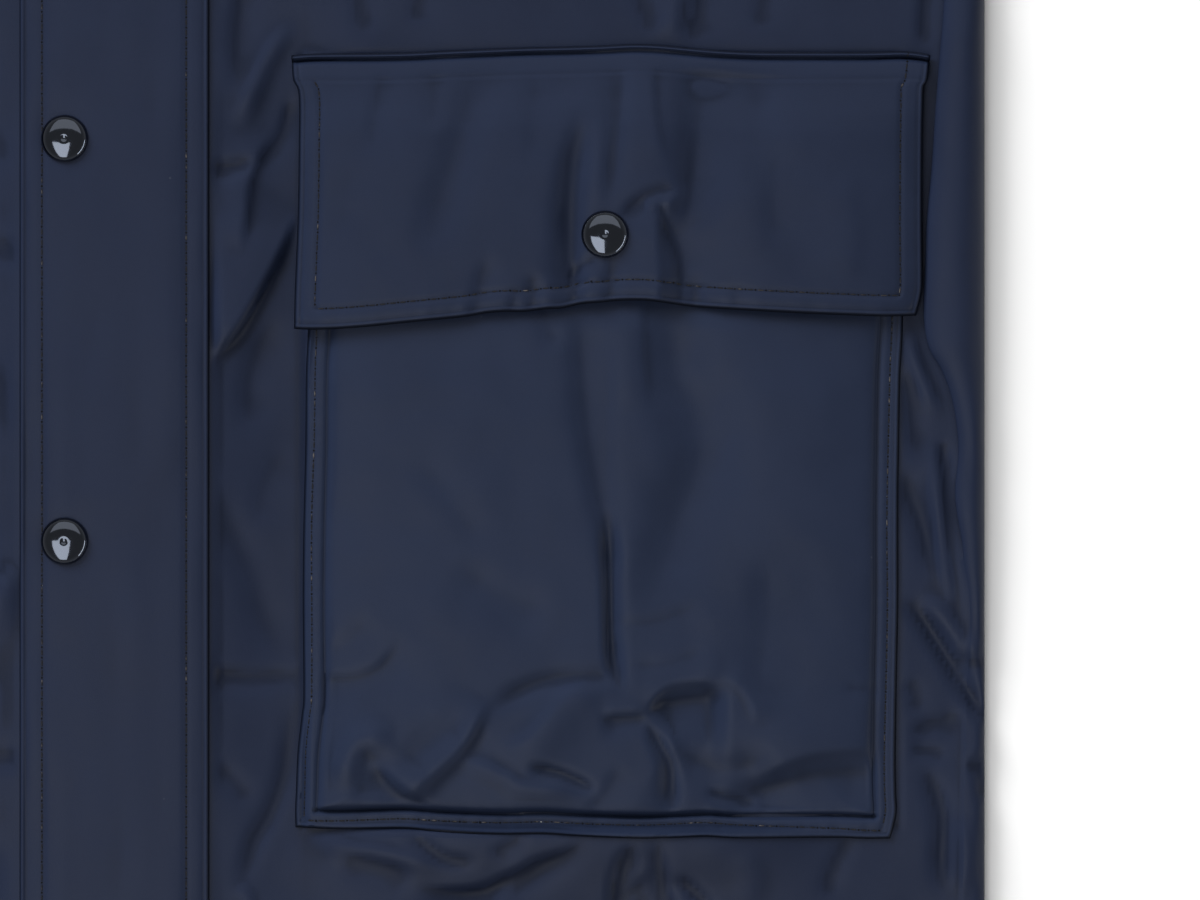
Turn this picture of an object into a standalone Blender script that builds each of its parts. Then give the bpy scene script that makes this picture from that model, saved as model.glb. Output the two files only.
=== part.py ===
"""A kids raincoat, laid flat on its back with the front up.

X runs across the coat, towards the wearer's left. Y runs from the hem to the hood. Z is up from the surface it
lies on. The plan below is drawn in millimetres from the foot of the centre front. Each cut piece is a closed
cloth wall of its own, with a seam's gap to its neighbours. The lower layer lies flat on the surface, the upper
layer lies on it, and the two roll towards each other along the sides, the sleeves and the hood.
"""
import math

import bmesh
import bpy
from mathutils import Vector

MM = 0.001

# Cloth, millimetres
WALL = 1.2
SEAM = 0.3
LAY = 5.0
ROLL_TOP = 6.2
ROLL_REACH = 3.1
MIDDLE = ROLL_TOP / 2
SEAT = LAY + SEAM + WALL

# Body
HALF_WIDTH = 229.5
UNDERARM_Y = 355.0
NECK_SIDE = (92.0, 598.0)
FRONT_NECK_Y = 520.0
BACK_NECK_Y = 585.0
PLACKET_X = 27.0

# The roll along each side of the coat: how much higher it stands than ROLL_TOP, by its height up the coat
LEFT_ROLL_RISE = (
    (0.0, 0.0), (120.0, 0.2), (150.0, 1.2), (190.0, 2.4), (215.0, 3.4), (250.0, 3.2), (290.0, 2.4),
    (328.0, 0.8),
)
RIGHT_ROLL_RISE = ((0.0, 0.0), (60.0, 0.6), (96.0, 1.6), (132.0, 1.1), (214.0, 2.2), (252.0, 1.6), (328.0, 0.6))

# Sleeve: the overarm edge ends at the outer cuff, the underarm edge at the inner cuff
CUFF_OUTER = (546.6, 313.7)
CUFF_INNER = (480.6, 219.5)
SHOULDER_BOW = 26.0
UNDERARM_BOW = 8.0

# Hood
HOOD_TOP = 906.0
FACE_EDGE_LIFT = 2.6
FACE_LIFT_START = 0.08

# Storm flap over the centre front
STORM_HALF = 25.0
STORM_TOP = 514.0
STORM_HEM = 5.0
STORM_ROWS = 12
STORM_RISE = 0.8
STORM_SNAP_X = -13.0
STORM_SNAP_COUNT = 5
STORM_SNAP_FIRST_Y = 42.0
STORM_SNAP_PITCH = 106.0

# Patch pocket: its middle, its border of seam allowance and how far the bag stands
POCKET_X = 128.0
POCKET_Y = 172.0
BORDER = 6.3
BAG_PUFF = 3.0
MOUTH_PUFF = 1.2
SNAP_ON_FLAP = (1.3, 56.6)

# Snap cap
CAP_RADIUS = 6.25
CAP_HEIGHT = 3.0
CAP_STEPS = 16

# The largest folds of the upper layer: two ends, half the width across, and the height above the lie
FOLDS = (
    # x0     y0     x1     y1   half  height
    (222.0, 292.0, 214.0, 205.0, 9.0, -1.4),
    (214.0, 205.0, 224.0, 120.0, 9.0, -1.4),
    (36.0, 270.0, 38.0, 160.0, 9.0, 1.6),
    (52.0, 58.0, 120.0, 44.0, 12.0, -1.4),
    (214.0, 350.0, 120.0, 316.0, 18.0, 4.2),
    (60.0, 455.0, 150.0, 402.0, 24.0, 4.5),
    (92.0, 0.0, 98.0, 46.0, 20.0, 4.0),
    (172.0, 0.0, 166.0, 40.0, 18.0, 3.4),
    (-206.0, 352.0, -104.0, 330.0, 20.0, 4.4),
    (-70.0, 470.0, -140.0, 388.0, 22.0, 4.0),
    (-60.0, 0.0, -66.0, 52.0, 18.0, 3.2),
    (-150.0, 0.0, -144.0, 46.0, 22.0, 4.4),
    (-36.0, 250.0, -38.0, 120.0, 9.0, 1.4),
    (262.0, 372.0, 232.0, 478.0, 24.0, 5.0),
    (330.0, 320.0, 318.0, 430.0, 22.0, 5.2),
    (404.0, 286.0, 372.0, 382.0, 20.0, 4.4),
    (470.0, 262.0, 476.0, 330.0, 18.0, 3.4),
    (-250.0, 366.0, -246.0, 486.0, 24.0, 4.6),
    (-318.0, 330.0, -340.0, 420.0, 22.0, 5.0),
    (-392.0, 290.0, -384.0, 396.0, 22.0, 4.6),
    (-462.0, 250.0, -448.0, 340.0, 18.0, 3.6),
    (92.0, 640.0, 108.0, 760.0, 16.0, 2.4),
    (-96.0, 660.0, -104.0, 740.0, 16.0, 2.6),
)

# Rectangles in which the upper layer stays flat: the storm flap and both pockets lie there
FLAT_BOXES = (
    # x low   x high   y low  y high
    (-PLACKET_X, PLACKET_X, -1.0, 560.0),
    (44.0, 216.0, 64.0, 284.0),
    (-216.0, -44.0, 64.0, 284.0),
)
FLAT_FADE = 9.0

# The hood half: the outer fold, the edge of the face opening and the back seam, from the neck to the crown
HOOD_STATIONS = (
    # fold x  fold y  face x  face y  back y
    (92.0, 598.3, 12.0, 530.5, 585.3),
    (112.0, 628.0, 36.0, 556.0, 612.0),
    (124.0, 670.0, 60.0, 600.0, 648.0),
    (129.0, 725.0, 76.0, 665.0, 696.0),
    (125.0, 785.0, 79.0, 735.0, 750.0),
    (109.0, 840.0, 68.0, 795.0, 805.0),
    (80.0, 880.0, 44.0, 836.0, 850.0),
    (42.0, 900.0, 20.0, 855.0, 874.0),
    (0.15, HOOD_TOP, 0.15, 861.0, 884.0),
)
HOOD_ROWS = 13

# Lattice lines across the front, measured from the centre front, and up it, from the hem
FRONT_COLUMNS = (SEAM / 2, PLACKET_X, 36.0, 44.0, 66.0, 88.0, 108.0, 128.0, 148.0, 170.0, 192.0, 212.0, 219.0)
FRONT_ROWS = (0.0, 22.0, 46.0, 64.0, 92.0, 122.0, 152.0, 182.0, 212.0, 246.0, 284.0, 302.0, 328.0)
FRONT_YOKE = (0.0, 0.03, 0.2, 0.4, 0.6, 0.8, 1.0)
BACK_COLUMNS = (0.0, 110.0, 180.0)
BACK_ROWS = (0.0, 90.0, 180.0, 270.0)
SLEEVE_STATIONS = 14
UPPER_SLEEVE_LINES = (0.14, 0.32, 0.5, 0.68, 0.86)
LOWER_SLEEVE_LINES = (0.25, 0.5, 0.75)
HOOD_FRONT_LINES = (0.0, 0.22, 0.5, 0.76)
HOOD_TURN_DEGREES = (0.0, 45.0, 90.0, 135.0, 180.0)
HOOD_BACK_LINES = (0.3, 0.6, 1.0)

# The pocket bag and its flap, from the pocket's middle: left and right edges at the foot and at the top
BAG_COLUMNS = (-60.0, -38.0, -18.0, 2.0, 22.0, 42.0, 60.0)
BAG_ROWS = (-84.0, -66.0, -48.0, -30.0, -12.0, 8.0, 28.0, 48.0, 70.0)
BAG_FOOT = (-80.0, 77.5)
BAG_HEAD = (-76.5, 79.5)
BAG_FOOT_Y = (-100.0, -102.0)
BAG_HEAD_Y = 90.0
BAG_FOLDS = (
    (-6.0, 28.0, 3.0, -62.0, 15.0, -1.3),
    (14.0, 30.0, 16.0, -48.0, 18.0, -0.9),
    (-40.0, -86.0, -10.0, -64.0, 14.0, -1.2),
    (44.0, -86.0, 70.0, -80.0, 14.0, -1.4),
)
FLAP_COLUMNS = (-60.0, -38.0, -18.0, 2.0, 22.0, 42.0, 60.0)
FLAP_SIDES = (
    # height, left edge, right edge
    (32.0, -80.5, 83.5),
    (60.0, -79.5, 85.0),
    (95.0, -80.0, 85.5),
    (104.0, -81.0, 87.0),
)
FLAP_LOWER_EDGE = ((-81.0, 31.8), (-34.0, 35.5), (5.0, 39.2), (40.0, 36.3), (87.0, 35.3))
FLAP_UPPER_EDGE = ((-81.0, 103.8), (-36.0, 104.6), (8.0, 106.8), (40.0, 104.9), (87.0, 104.0))
FLAP_ROWS = (
    # from the upper edge (0) to the lower (1), rise above the seat in the middle, and at the sides
    (0.0, 0.2, 0.2),
    (0.018, 1.4, 1.4),
    (0.036, 0.3, 0.3),
    (0.09, 1.5, 0.9),
    (0.18, 3.1, 1.8),
    (0.34, 4.8, 1.8),
    (0.66, 4.8, 1.8),
    (0.86, 4.8, 1.8),
    (1.0, 4.8, 1.8),
)


def blend(start, end, share):
    """The value a share of the way from start to end."""
    return start + (end - start) * share


def along(table, x):
    """Read a table of (x, value) rows at x, straight between its rows."""
    for (x0, v0), (x1, v1) in zip(table, table[1:]):
        if x <= x1:
            return blend(v0, v1, max(0.0, (x - x0) / (x1 - x0)))
    return table[-1][1]


def smooth_row(rows, place):
    """Read a table of stations at a place between its first row (0) and last (1), on a smooth curve."""
    spot = place * (len(rows) - 1)
    k = min(int(spot), len(rows) - 2)
    t = spot - k
    before, start = rows[max(k - 1, 0)], rows[k]
    end, after = rows[k + 1], rows[min(k + 2, len(rows) - 1)]
    return [
        0.5 * (2 * b + (c - a) * t + (2 * a - 5 * b + 4 * c - d) * t * t + (3 * b - a - 3 * c + d) * t ** 3)
        for a, b, c, d in zip(before, start, end, after)
    ]


def fold_height(x, y, folds):
    """The height that a table of folds adds at a point: each is a round-topped ridge or trough."""
    height = 0.0
    for x0, y0, x1, y1, half, rise in folds:
        run, climb = x1 - x0, y1 - y0
        t = ((x - x0) * run + (y - y0) * climb) / (run * run + climb * climb)
        t = min(1.0, max(0.0, t))
        away = math.hypot(x - x0 - t * run, y - y0 - t * climb)
        if away < half:
            height += rise * (0.5 + 0.5 * math.cos(math.pi * away / half))
    return height


def free_share(x, y):
    """How freely the upper layer may fold at a point: 0 in a flat box, 1 well outside them all."""
    share = 1.0
    for left, right, low, high in FLAT_BOXES:
        outside = max(left - x, x - right, low - y, y - high)
        share = min(share, max(0.0, outside / FLAT_FADE))
    return share


def upper_top(x, y):
    """The top of the upper layer."""
    return LAY + fold_height(x, y, FOLDS) * free_share(x, y)


def cloth(name, columns, rows, point, material, side=1):
    """A closed cloth wall on a lattice of columns by rows. point(i, j, backing) places its two faces."""
    bm = bmesh.new()
    bmesh.ops.create_grid(bm, x_segments=columns - 1, y_segments=rows - 1, size=1.0)
    front_verts = bm.verts[:]
    grown = bmesh.ops.extrude_face_region(bm, geom=bm.faces[:], use_keep_orig=True)
    back_verts = [item for item in grown["geom"] if isinstance(item, bmesh.types.BMVert)]
    bmesh.ops.translate(bm, verts=back_verts, vec=(0, 0, -1))
    bmesh.ops.recalc_face_normals(bm, faces=bm.faces[:])
    for verts, backing in ((front_verts, False), (back_verts, True)):
        for vert in verts:
            i = round((vert.co.x + 1) / 2 * (columns - 1))
            j = round((vert.co.y + 1) / 2 * (rows - 1))
            x, y, z = point(i, j, backing)
            vert.co = Vector((side * x, y - HOOD_TOP / 2, z)) * MM
    if bm.calc_volume(signed=True) < 0:
        bmesh.ops.reverse_faces(bm, faces=bm.faces[:])
    return finish(name, bm, material)


def finish(name, bm, material):
    """Put a bmesh into the scene as a named, smooth-shaded object."""
    mesh = bpy.data.meshes.new(name)
    bm.to_mesh(mesh)
    bm.free()
    mesh.shade_smooth()
    mesh.set_sharp_from_angle(angle=math.radians(40))
    mesh.materials.append(material)
    piece = bpy.data.objects.new(name, mesh)
    bpy.context.scene.collection.objects.link(piece)
    return piece


def surface_material(name, colour, roughness):
    """A Principled material of one colour."""
    material = bpy.data.materials.new(name)
    material.use_nodes = True
    shader = material.node_tree.nodes["Principled BSDF"]
    shader.inputs["Base Color"].default_value = (*colour, 1.0)
    shader.inputs["Roughness"].default_value = roughness
    return material


def roll(angle, top, lower=False):
    """Along a rolled edge: how far in from the edge each face lies and its height, for the skin and backing."""
    sine, cosine = math.sin(angle), math.cos(angle)
    inset_skin = ROLL_REACH * (1 - sine)
    inset_backing = ROLL_REACH - (ROLL_REACH - WALL) * sine
    if lower:
        mid = MIDDLE - SEAM / 2
        return inset_skin, mid - mid * cosine, inset_backing, mid - (mid - WALL) * cosine
    mid = MIDDLE + SEAM / 2
    return inset_skin, mid + (top - mid) * cosine, inset_backing, mid + (top - WALL - mid) * cosine


ROLL_ANGLES = (0.0, math.pi / 4, math.pi / 2)


def body_plan(x, row, rows, yoke, neck_y):
    """The plan of the body: straight up to the underarm, then in along the raglan seam to the neck."""
    if row < len(rows):
        return x, rows[row]
    share = yoke[row - len(rows)]
    x_top = x
    if abs(x) > PLACKET_X:
        narrowing = (NECK_SIDE[0] - PLACKET_X) / (HALF_WIDTH - PLACKET_X)
        x_top = math.copysign(PLACKET_X + (abs(x) - PLACKET_X) * narrowing, x)
    y_top = neck_y + (NECK_SIDE[1] - neck_y) * abs(x_top) / NECK_SIDE[0]
    return blend(x, x_top, share), blend(UNDERARM_Y, y_top, share)


def make_front(name, side, roll_rise, material):
    """One front: the side edge rolls under below the underarm, and the raglan edge lies flat above it."""
    flat = len(FRONT_COLUMNS)
    columns = flat + len(ROLL_ANGLES)
    rows = len(FRONT_ROWS) + len(FRONT_YOKE)

    def point(i, j, backing):
        rolled = j <= len(FRONT_ROWS)
        if i < flat:
            x, y = body_plan(FRONT_COLUMNS[i], j, FRONT_ROWS, FRONT_YOKE, FRONT_NECK_Y)
            return x, y, upper_top(side * x, y) - (WALL if backing else 0.0)
        top = ROLL_TOP
        if j < len(FRONT_ROWS):
            top += along(roll_rise, FRONT_ROWS[j])
        inset_skin, z_skin, inset_backing, z_backing = roll(ROLL_ANGLES[i - flat], top)
        inset = inset_backing if backing and rolled else inset_skin
        x, y = body_plan(HALF_WIDTH - inset, j, FRONT_ROWS, FRONT_YOKE, FRONT_NECK_Y)
        if rolled:
            return x, y, z_backing if backing else z_skin
        return x, y, ROLL_TOP - (WALL if backing else 0.0)

    cloth(name, columns, rows, point, material, side)


def make_back(material):
    """The back, one piece, flat on the surface, with both side edges rolled up."""
    flats = sorted({side * x for x in BACK_COLUMNS for side in (-1, 1)})
    edge = len(ROLL_ANGLES)
    columns = len(flats) + 2 * edge
    rows = len(BACK_ROWS) + len(FRONT_YOKE)

    def point(i, j, backing):
        if edge <= i < columns - edge:
            x, y = body_plan(flats[i - edge], j, BACK_ROWS, FRONT_YOKE, BACK_NECK_Y)
            return x, y, WALL if backing else 0.0
        side = -1 if i < edge else 1
        step = edge - 1 - i if i < edge else i - (columns - edge)
        rolled = j <= len(BACK_ROWS)
        inset_skin, z_skin, inset_backing, z_backing = roll(ROLL_ANGLES[step], ROLL_TOP, lower=True)
        inset = inset_backing if backing and rolled else inset_skin
        x, y = body_plan(side * (HALF_WIDTH - inset), j, BACK_ROWS, FRONT_YOKE, BACK_NECK_Y)
        if rolled:
            return x, y, z_backing if backing else z_skin
        return x, y, WALL if backing else 0.0

    cloth("back", columns, rows, point, material)


def sleeve_edges(share):
    """The overarm and underarm edges of the sleeve, a share of the way from the raglan seam to the cuff."""
    raglan = Vector((NECK_SIDE[0] - HALF_WIDTH, NECK_SIDE[1] - UNDERARM_Y)).normalized()
    clear = Vector((raglan.y, -raglan.x)) * SEAM
    over_run = Vector(CUFF_OUTER) - Vector(NECK_SIDE)
    over = Vector(NECK_SIDE) + clear + over_run * share
    over += Vector((-over_run.y, over_run.x)).normalized() * SHOULDER_BOW * math.sin(math.pi * math.sqrt(share))
    under_run = Vector(CUFF_INNER) - Vector((HALF_WIDTH, UNDERARM_Y))
    under = Vector((HALF_WIDTH, UNDERARM_Y)) + clear + under_run * share
    under += Vector((-under_run.y, under_run.x)).normalized() * UNDERARM_BOW * math.sin(math.pi * share)
    return over, under


def make_sleeve(name, side, lower, material):
    """Half a sleeve, upper or lower, ruled from the overarm edge to the underarm edge, both rolled."""
    middle = LOWER_SLEEVE_LINES if lower else UPPER_SLEEVE_LINES
    edge = len(ROLL_ANGLES)
    across = len(middle) + 2 * edge

    def point(i, j, backing):
        over, under = sleeve_edges(j / (SLEEVE_STATIONS - 1))
        width = (under - over).length
        if edge <= i < across - edge:
            spot = over.lerp(under, middle[i - edge])
            if lower:
                return spot.x, spot.y, WALL if backing else 0.0
            return spot.x, spot.y, upper_top(side * spot.x, spot.y) - (WALL if backing else 0.0)
        step = edge - 1 - i if i < edge else i - (across - edge)
        inset_skin, z_skin, inset_backing, z_backing = roll(ROLL_ANGLES[step], ROLL_TOP, lower)
        inset = inset_backing if backing else inset_skin
        spot = over.lerp(under, (inset if i < edge else width - inset) / width)
        return spot.x, spot.y, z_backing if backing else z_skin

    cloth(name, across, SLEEVE_STATIONS, point, material, side)


def make_hood(name, side, material):
    """Half the hood: from the face opening out over the upper layer, round the fold and back to the seam."""
    front, turn, back = HOOD_FRONT_LINES, HOOD_TURN_DEGREES, HOOD_BACK_LINES
    across = len(front) + len(turn) + len(back)

    def point(i, j, backing):
        fold_x, fold_y, face_x, face_y, back_y = smooth_row(HOOD_STATIONS, j / (HOOD_ROWS - 1))
        fold, face, seam = Vector((fold_x, fold_y)), Vector((face_x, face_y)), Vector((SEAM / 2, back_y))
        thickness = WALL if backing else 0.0
        if i < len(front) + len(turn) // 2:
            out = (fold - face).normalized()
        else:
            out = (fold - seam).normalized()
        centre = fold - out * ROLL_REACH
        if i < len(front):
            spot = face.lerp(centre, front[i])
            climb = min(1.0, FACE_LIFT_START + j / (HOOD_ROWS - 1))
            lift = FACE_EDGE_LIFT * (1 - front[i]) * math.sin(math.pi * climb)
            z = upper_top(side * spot.x, spot.y) + lift + (ROLL_TOP - LAY) * front[i]
            return spot.x, spot.y, z - thickness
        if i < len(front) + len(turn):
            angle = math.radians(turn[i - len(front)])
            spot = centre + out * (ROLL_REACH - thickness) * math.sin(angle)
            return spot.x, spot.y, MIDDLE + (MIDDLE - thickness) * math.cos(angle)
        spot = centre.lerp(seam, back[i - len(front) - len(turn)])
        return spot.x, spot.y, thickness

    cloth(name, across, HOOD_ROWS, point, material, side)


def make_storm_flap(material):
    """The strip over the centre front: its two hems lie on the fronts, and its middle stands a little."""
    lines = (-STORM_HALF, -STORM_HALF + STORM_HEM, STORM_HALF - STORM_HEM, STORM_HALF)

    def point(i, j, backing):
        rise = 0.0 if i in (0, len(lines) - 1) else STORM_RISE
        return lines[i], STORM_TOP * j / (STORM_ROWS - 1), SEAT + rise - (WALL if backing else 0.0)

    cloth("storm_flap", len(lines), STORM_ROWS, point, material)


def make_bag(name, side, material):
    """The pocket bag: a flat border of seam allowance on three sides, and the rest standing off the front."""
    columns = len(BAG_COLUMNS) + 4
    rows = len(BAG_ROWS) + 3

    def point(i, j, backing):
        inner_y = BAG_ROWS[min(max(j - 2, 0), len(BAG_ROWS) - 1)]
        high = (inner_y - BAG_FOOT_Y[0]) / (BAG_HEAD_Y - BAG_FOOT_Y[0])
        if j < 2:
            high = 0.0
        if j == rows - 1:
            high = 1.0
        left, right = blend(BAG_FOOT[0], BAG_HEAD[0], high), blend(BAG_FOOT[1], BAG_HEAD[1], high)
        x = (left, left + BORDER, *BAG_COLUMNS, right - BORDER, right)[i]
        foot = blend(*BAG_FOOT_Y, (x - left) / (right - left))
        y = (foot, foot + BORDER, *BAG_ROWS, BAG_HEAD_Y)[j]
        inside = 2 <= i < columns - 2
        puff = 0.0
        if inside and 2 <= j < rows - 1:
            puff = BAG_PUFF + fold_height(x, y, BAG_FOLDS)
        elif inside and j == rows - 1:
            puff = MOUTH_PUFF
        return POCKET_X + x, POCKET_Y + y, SEAT + max(0.0, puff) - (WALL if backing else 0.0)

    cloth(name, columns, rows, point, material, side)


def make_flap(name, side, material):
    """The pocket flap: a rolled welt along its top, and an arched lower edge that hangs over the bag."""
    columns = len(FLAP_COLUMNS) + 2
    lefts = [(height, left) for height, left, _ in FLAP_SIDES]
    rights = [(height, right) for height, _, right in FLAP_SIDES]

    def point(i, j, backing):
        down, middle_rise, side_rise = FLAP_ROWS[j]
        if 0 < i < columns - 1:
            x = FLAP_COLUMNS[i - 1]
            y = blend(along(FLAP_UPPER_EDGE, x), along(FLAP_LOWER_EDGE, x), down)
            rise = middle_rise
        else:
            end = 0 if i == 0 else -1
            y = blend(FLAP_UPPER_EDGE[end][1], FLAP_LOWER_EDGE[end][1], down)
            x = along(lefts if i == 0 else rights, y)
            rise = side_rise
        return POCKET_X + x, POCKET_Y + y, SEAT + rise - (WALL if backing else 0.0)

    cloth(name, columns, len(FLAP_ROWS), point, material, side)


def make_snap(name, x, y, seat, material):
    """A domed snap cap with a flat foot, turned round its own axis and set a seam's gap above its seat."""
    profile = (
        (0.0, 0.93 * CAP_HEIGHT),
        (0.12 * CAP_RADIUS, CAP_HEIGHT),
        (0.45 * CAP_RADIUS, 0.92 * CAP_HEIGHT),
        (0.8 * CAP_RADIUS, 0.62 * CAP_HEIGHT),
        (CAP_RADIUS, 0.2 * CAP_HEIGHT),
        (0.96 * CAP_RADIUS, 0.0),
        (0.0, 0.0),
    )
    bm = bmesh.new()
    verts = [bm.verts.new((radius, 0.0, height)) for radius, height in profile]
    edges = [bm.edges.new(pair) for pair in zip(verts, verts[1:])]
    bmesh.ops.spin(bm, geom=verts + edges, cent=(0, 0, 0), axis=(0, 0, 1), angle=math.tau, steps=CAP_STEPS,
                   use_merge=True)
    bmesh.ops.remove_doubles(bm, verts=bm.verts[:], dist=0.001)
    bmesh.ops.recalc_face_normals(bm, faces=bm.faces[:])
    bmesh.ops.translate(bm, verts=bm.verts[:], vec=(x, y - HOOD_TOP / 2, seat + SEAM))
    bmesh.ops.scale(bm, verts=bm.verts[:], vec=(MM, MM, MM))
    finish(name, bm, material)


def build():
    """Make every piece of the coat."""
    for old in list(bpy.data.objects):
        bpy.data.objects.remove(old, do_unlink=True)
    navy = surface_material("coated_cloth", (0.024, 0.031, 0.058), 0.55)
    cap = surface_material("snap_cap", (0.016, 0.022, 0.046), 0.12)

    make_back(navy)
    make_storm_flap(navy)
    flap_top = SEAT + max(rise for _, rise, _ in FLAP_ROWS)
    for side, word in ((1, "left"), (-1, "right")):
        make_front(f"front_{word}", side, LEFT_ROLL_RISE if side > 0 else RIGHT_ROLL_RISE, navy)
        make_sleeve(f"sleeve_{word}_front", side, False, navy)
        make_sleeve(f"sleeve_{word}_back", side, True, navy)
        make_hood(f"hood_{word}", side, navy)
        make_bag(f"pocket_{word}", side, navy)
        make_flap(f"pocket_flap_{word}", side, navy)
        make_snap(f"snap_pocket_{word}", side * (POCKET_X + SNAP_ON_FLAP[0]), POCKET_Y + SNAP_ON_FLAP[1],
                  flap_top, cap)
    for number in range(STORM_SNAP_COUNT):
        make_snap(f"snap_front_{number + 1}", STORM_SNAP_X, STORM_SNAP_FIRST_Y + STORM_SNAP_PITCH * number,
                  SEAT + STORM_RISE, cap)


build()
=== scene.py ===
# %% [markdown]
# # A child's raincoat, laid flat
# The coat is cut from a knitted cloth with a navy polyurethane coating, which looks like matte rubber. It
# lies on its back with the front up. The camera looks straight down on one patch pocket. Every cut piece
# is made here as a thin closed wall over the solid that the frame holds for it.

import math

import bmesh
import bpy
import numpy as np
from mathutils import Matrix, Vector, noise
from mathutils.bvhtree import BVHTree


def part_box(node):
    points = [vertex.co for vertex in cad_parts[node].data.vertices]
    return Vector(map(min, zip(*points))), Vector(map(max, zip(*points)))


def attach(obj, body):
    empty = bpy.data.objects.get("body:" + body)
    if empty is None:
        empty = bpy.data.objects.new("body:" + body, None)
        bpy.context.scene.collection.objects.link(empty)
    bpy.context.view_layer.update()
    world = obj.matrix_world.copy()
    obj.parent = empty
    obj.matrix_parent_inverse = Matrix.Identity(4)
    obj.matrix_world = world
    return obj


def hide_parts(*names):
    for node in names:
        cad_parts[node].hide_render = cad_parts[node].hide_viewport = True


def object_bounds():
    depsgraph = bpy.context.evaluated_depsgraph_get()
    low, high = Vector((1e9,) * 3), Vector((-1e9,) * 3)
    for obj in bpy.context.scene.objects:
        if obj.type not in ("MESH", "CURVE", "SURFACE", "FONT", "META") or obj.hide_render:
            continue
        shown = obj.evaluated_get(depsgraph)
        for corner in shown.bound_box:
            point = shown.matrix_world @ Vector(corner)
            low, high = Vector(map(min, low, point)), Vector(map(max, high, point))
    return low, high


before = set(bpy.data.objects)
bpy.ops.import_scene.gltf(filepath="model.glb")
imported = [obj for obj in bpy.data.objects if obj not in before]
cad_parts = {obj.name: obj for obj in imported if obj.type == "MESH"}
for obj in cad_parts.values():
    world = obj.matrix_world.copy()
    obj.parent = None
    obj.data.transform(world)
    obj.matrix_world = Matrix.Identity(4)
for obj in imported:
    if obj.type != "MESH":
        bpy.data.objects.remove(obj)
cad_box = [list(corner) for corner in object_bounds()]
print("frame nodes:", len(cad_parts))

# %% [markdown]
# ## Units and the lie of the coat
# The plan is drawn in millimetres from the foot of the centre front: x towards the wearer's left, y up to
# the hood. The heights come from the frame: the lower layer lies on the table, and the upper one lies on
# it.

# %% Sizes, some of them read from the frame
MM = 0.001
SIDES = ((1, "left"), (-1, "right"))
HEM = cad_box[0][1] / MM
HALF_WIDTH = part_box("back")[1].x / MM
SEAM = 0.3
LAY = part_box("pocket_left")[0].z / MM - SEAM
ROLL_TOP = 6.2
ROLL_REACH = 3.1
UNDERARM_Y = 355.0
NECK_SIDE = (92.0, 598.0)
FRONT_NECK_Y = 520.0
BACK_NECK_Y = 585.0
RAGLAN_LENGTH = 280.0
OVERARM_LENGTH = 520.0
POCKET = (128.0, 172.0)
CLOTH = 0.6
print("half width", round(HALF_WIDTH, 1), "mm, upper layer lies at", round(LAY, 1), "mm")

# %% [markdown]
# ## Curves and profiles
# A seam or a crease is drawn through a few points. A Catmull-Rom curve joins them without
# corners. A profile across a seam is a sum of soft steps and round ridges.


# %% Smooth curves and profiles
def through(points, steps=8):
    """A smooth run of points through the given ones."""
    spots = np.asarray(points, float)
    ends = np.vstack([2 * spots[0] - spots[1], spots, 2 * spots[-1] - spots[-2]])
    t = np.linspace(0, 1, steps, endpoint=False)[:, None]
    spans = [
        0.5 * (2 * b + (c - a) * t + (2 * a - 5 * b + 4 * c - d) * t ** 2 + (3 * b - a - 3 * c + d) * t ** 3)
        for a, b, c, d in zip(ends, ends[1:], ends[2:], ends[3:])
    ]
    return np.vstack([*spans, spots[-1:]])


def edge_of(points):
    """A smooth edge as a function of its first coordinate, which only grows along the points."""
    curve = through(points)
    return lambda at: np.interp(at, curve[:, 0], curve[:, 1])


def ease(value):
    """0 below 0, 1 above 1, and a smooth climb between."""
    t = np.clip(value, 0.0, 1.0)
    return t * t * (3 - 2 * t)


def ridge(at, middle, width, height):
    """A round ridge of the given height, or a furrow where the height is below zero."""
    return height * np.exp(-((at - middle) / width) ** 2)


def settled(distance, reach):
    """0 up to a seam, and then nearer and nearer to 1 with the distance past it."""
    return 1 - np.exp(-np.clip(distance, 0, None) / reach)


def unit(vectors):
    """The vectors, each made one long."""
    return vectors / np.linalg.norm(vectors, axis=-1, keepdims=True)


# %% [markdown]
# ## Creases
# Coated cloth doesn't drape: it keeps long soft folds and a few sharp pinches. Each crease is a short
# curve with a reach to its left, a reach to its right, and a rise, which is negative for a trough.
# Unequal reaches make one side steep, as where cloth hangs over itself. A reach may be a pair, at the
# start and at the end, so that a crease can open out like a fan. Every crease fades out towards both
# ends. The coat was smoothed down on the table towards the lower right, so its folds lean that way: the
# side that faces down and right has the reach given in the table, and the side that faces up and left is
# gentler.

# %% Height of a table of creases
FADE = 0.30
UPHILL = (-0.75, 0.66)
GENTLE = 2.0
SHARPEST = 1.35
FLAT_BEYOND = 2.7


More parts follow.
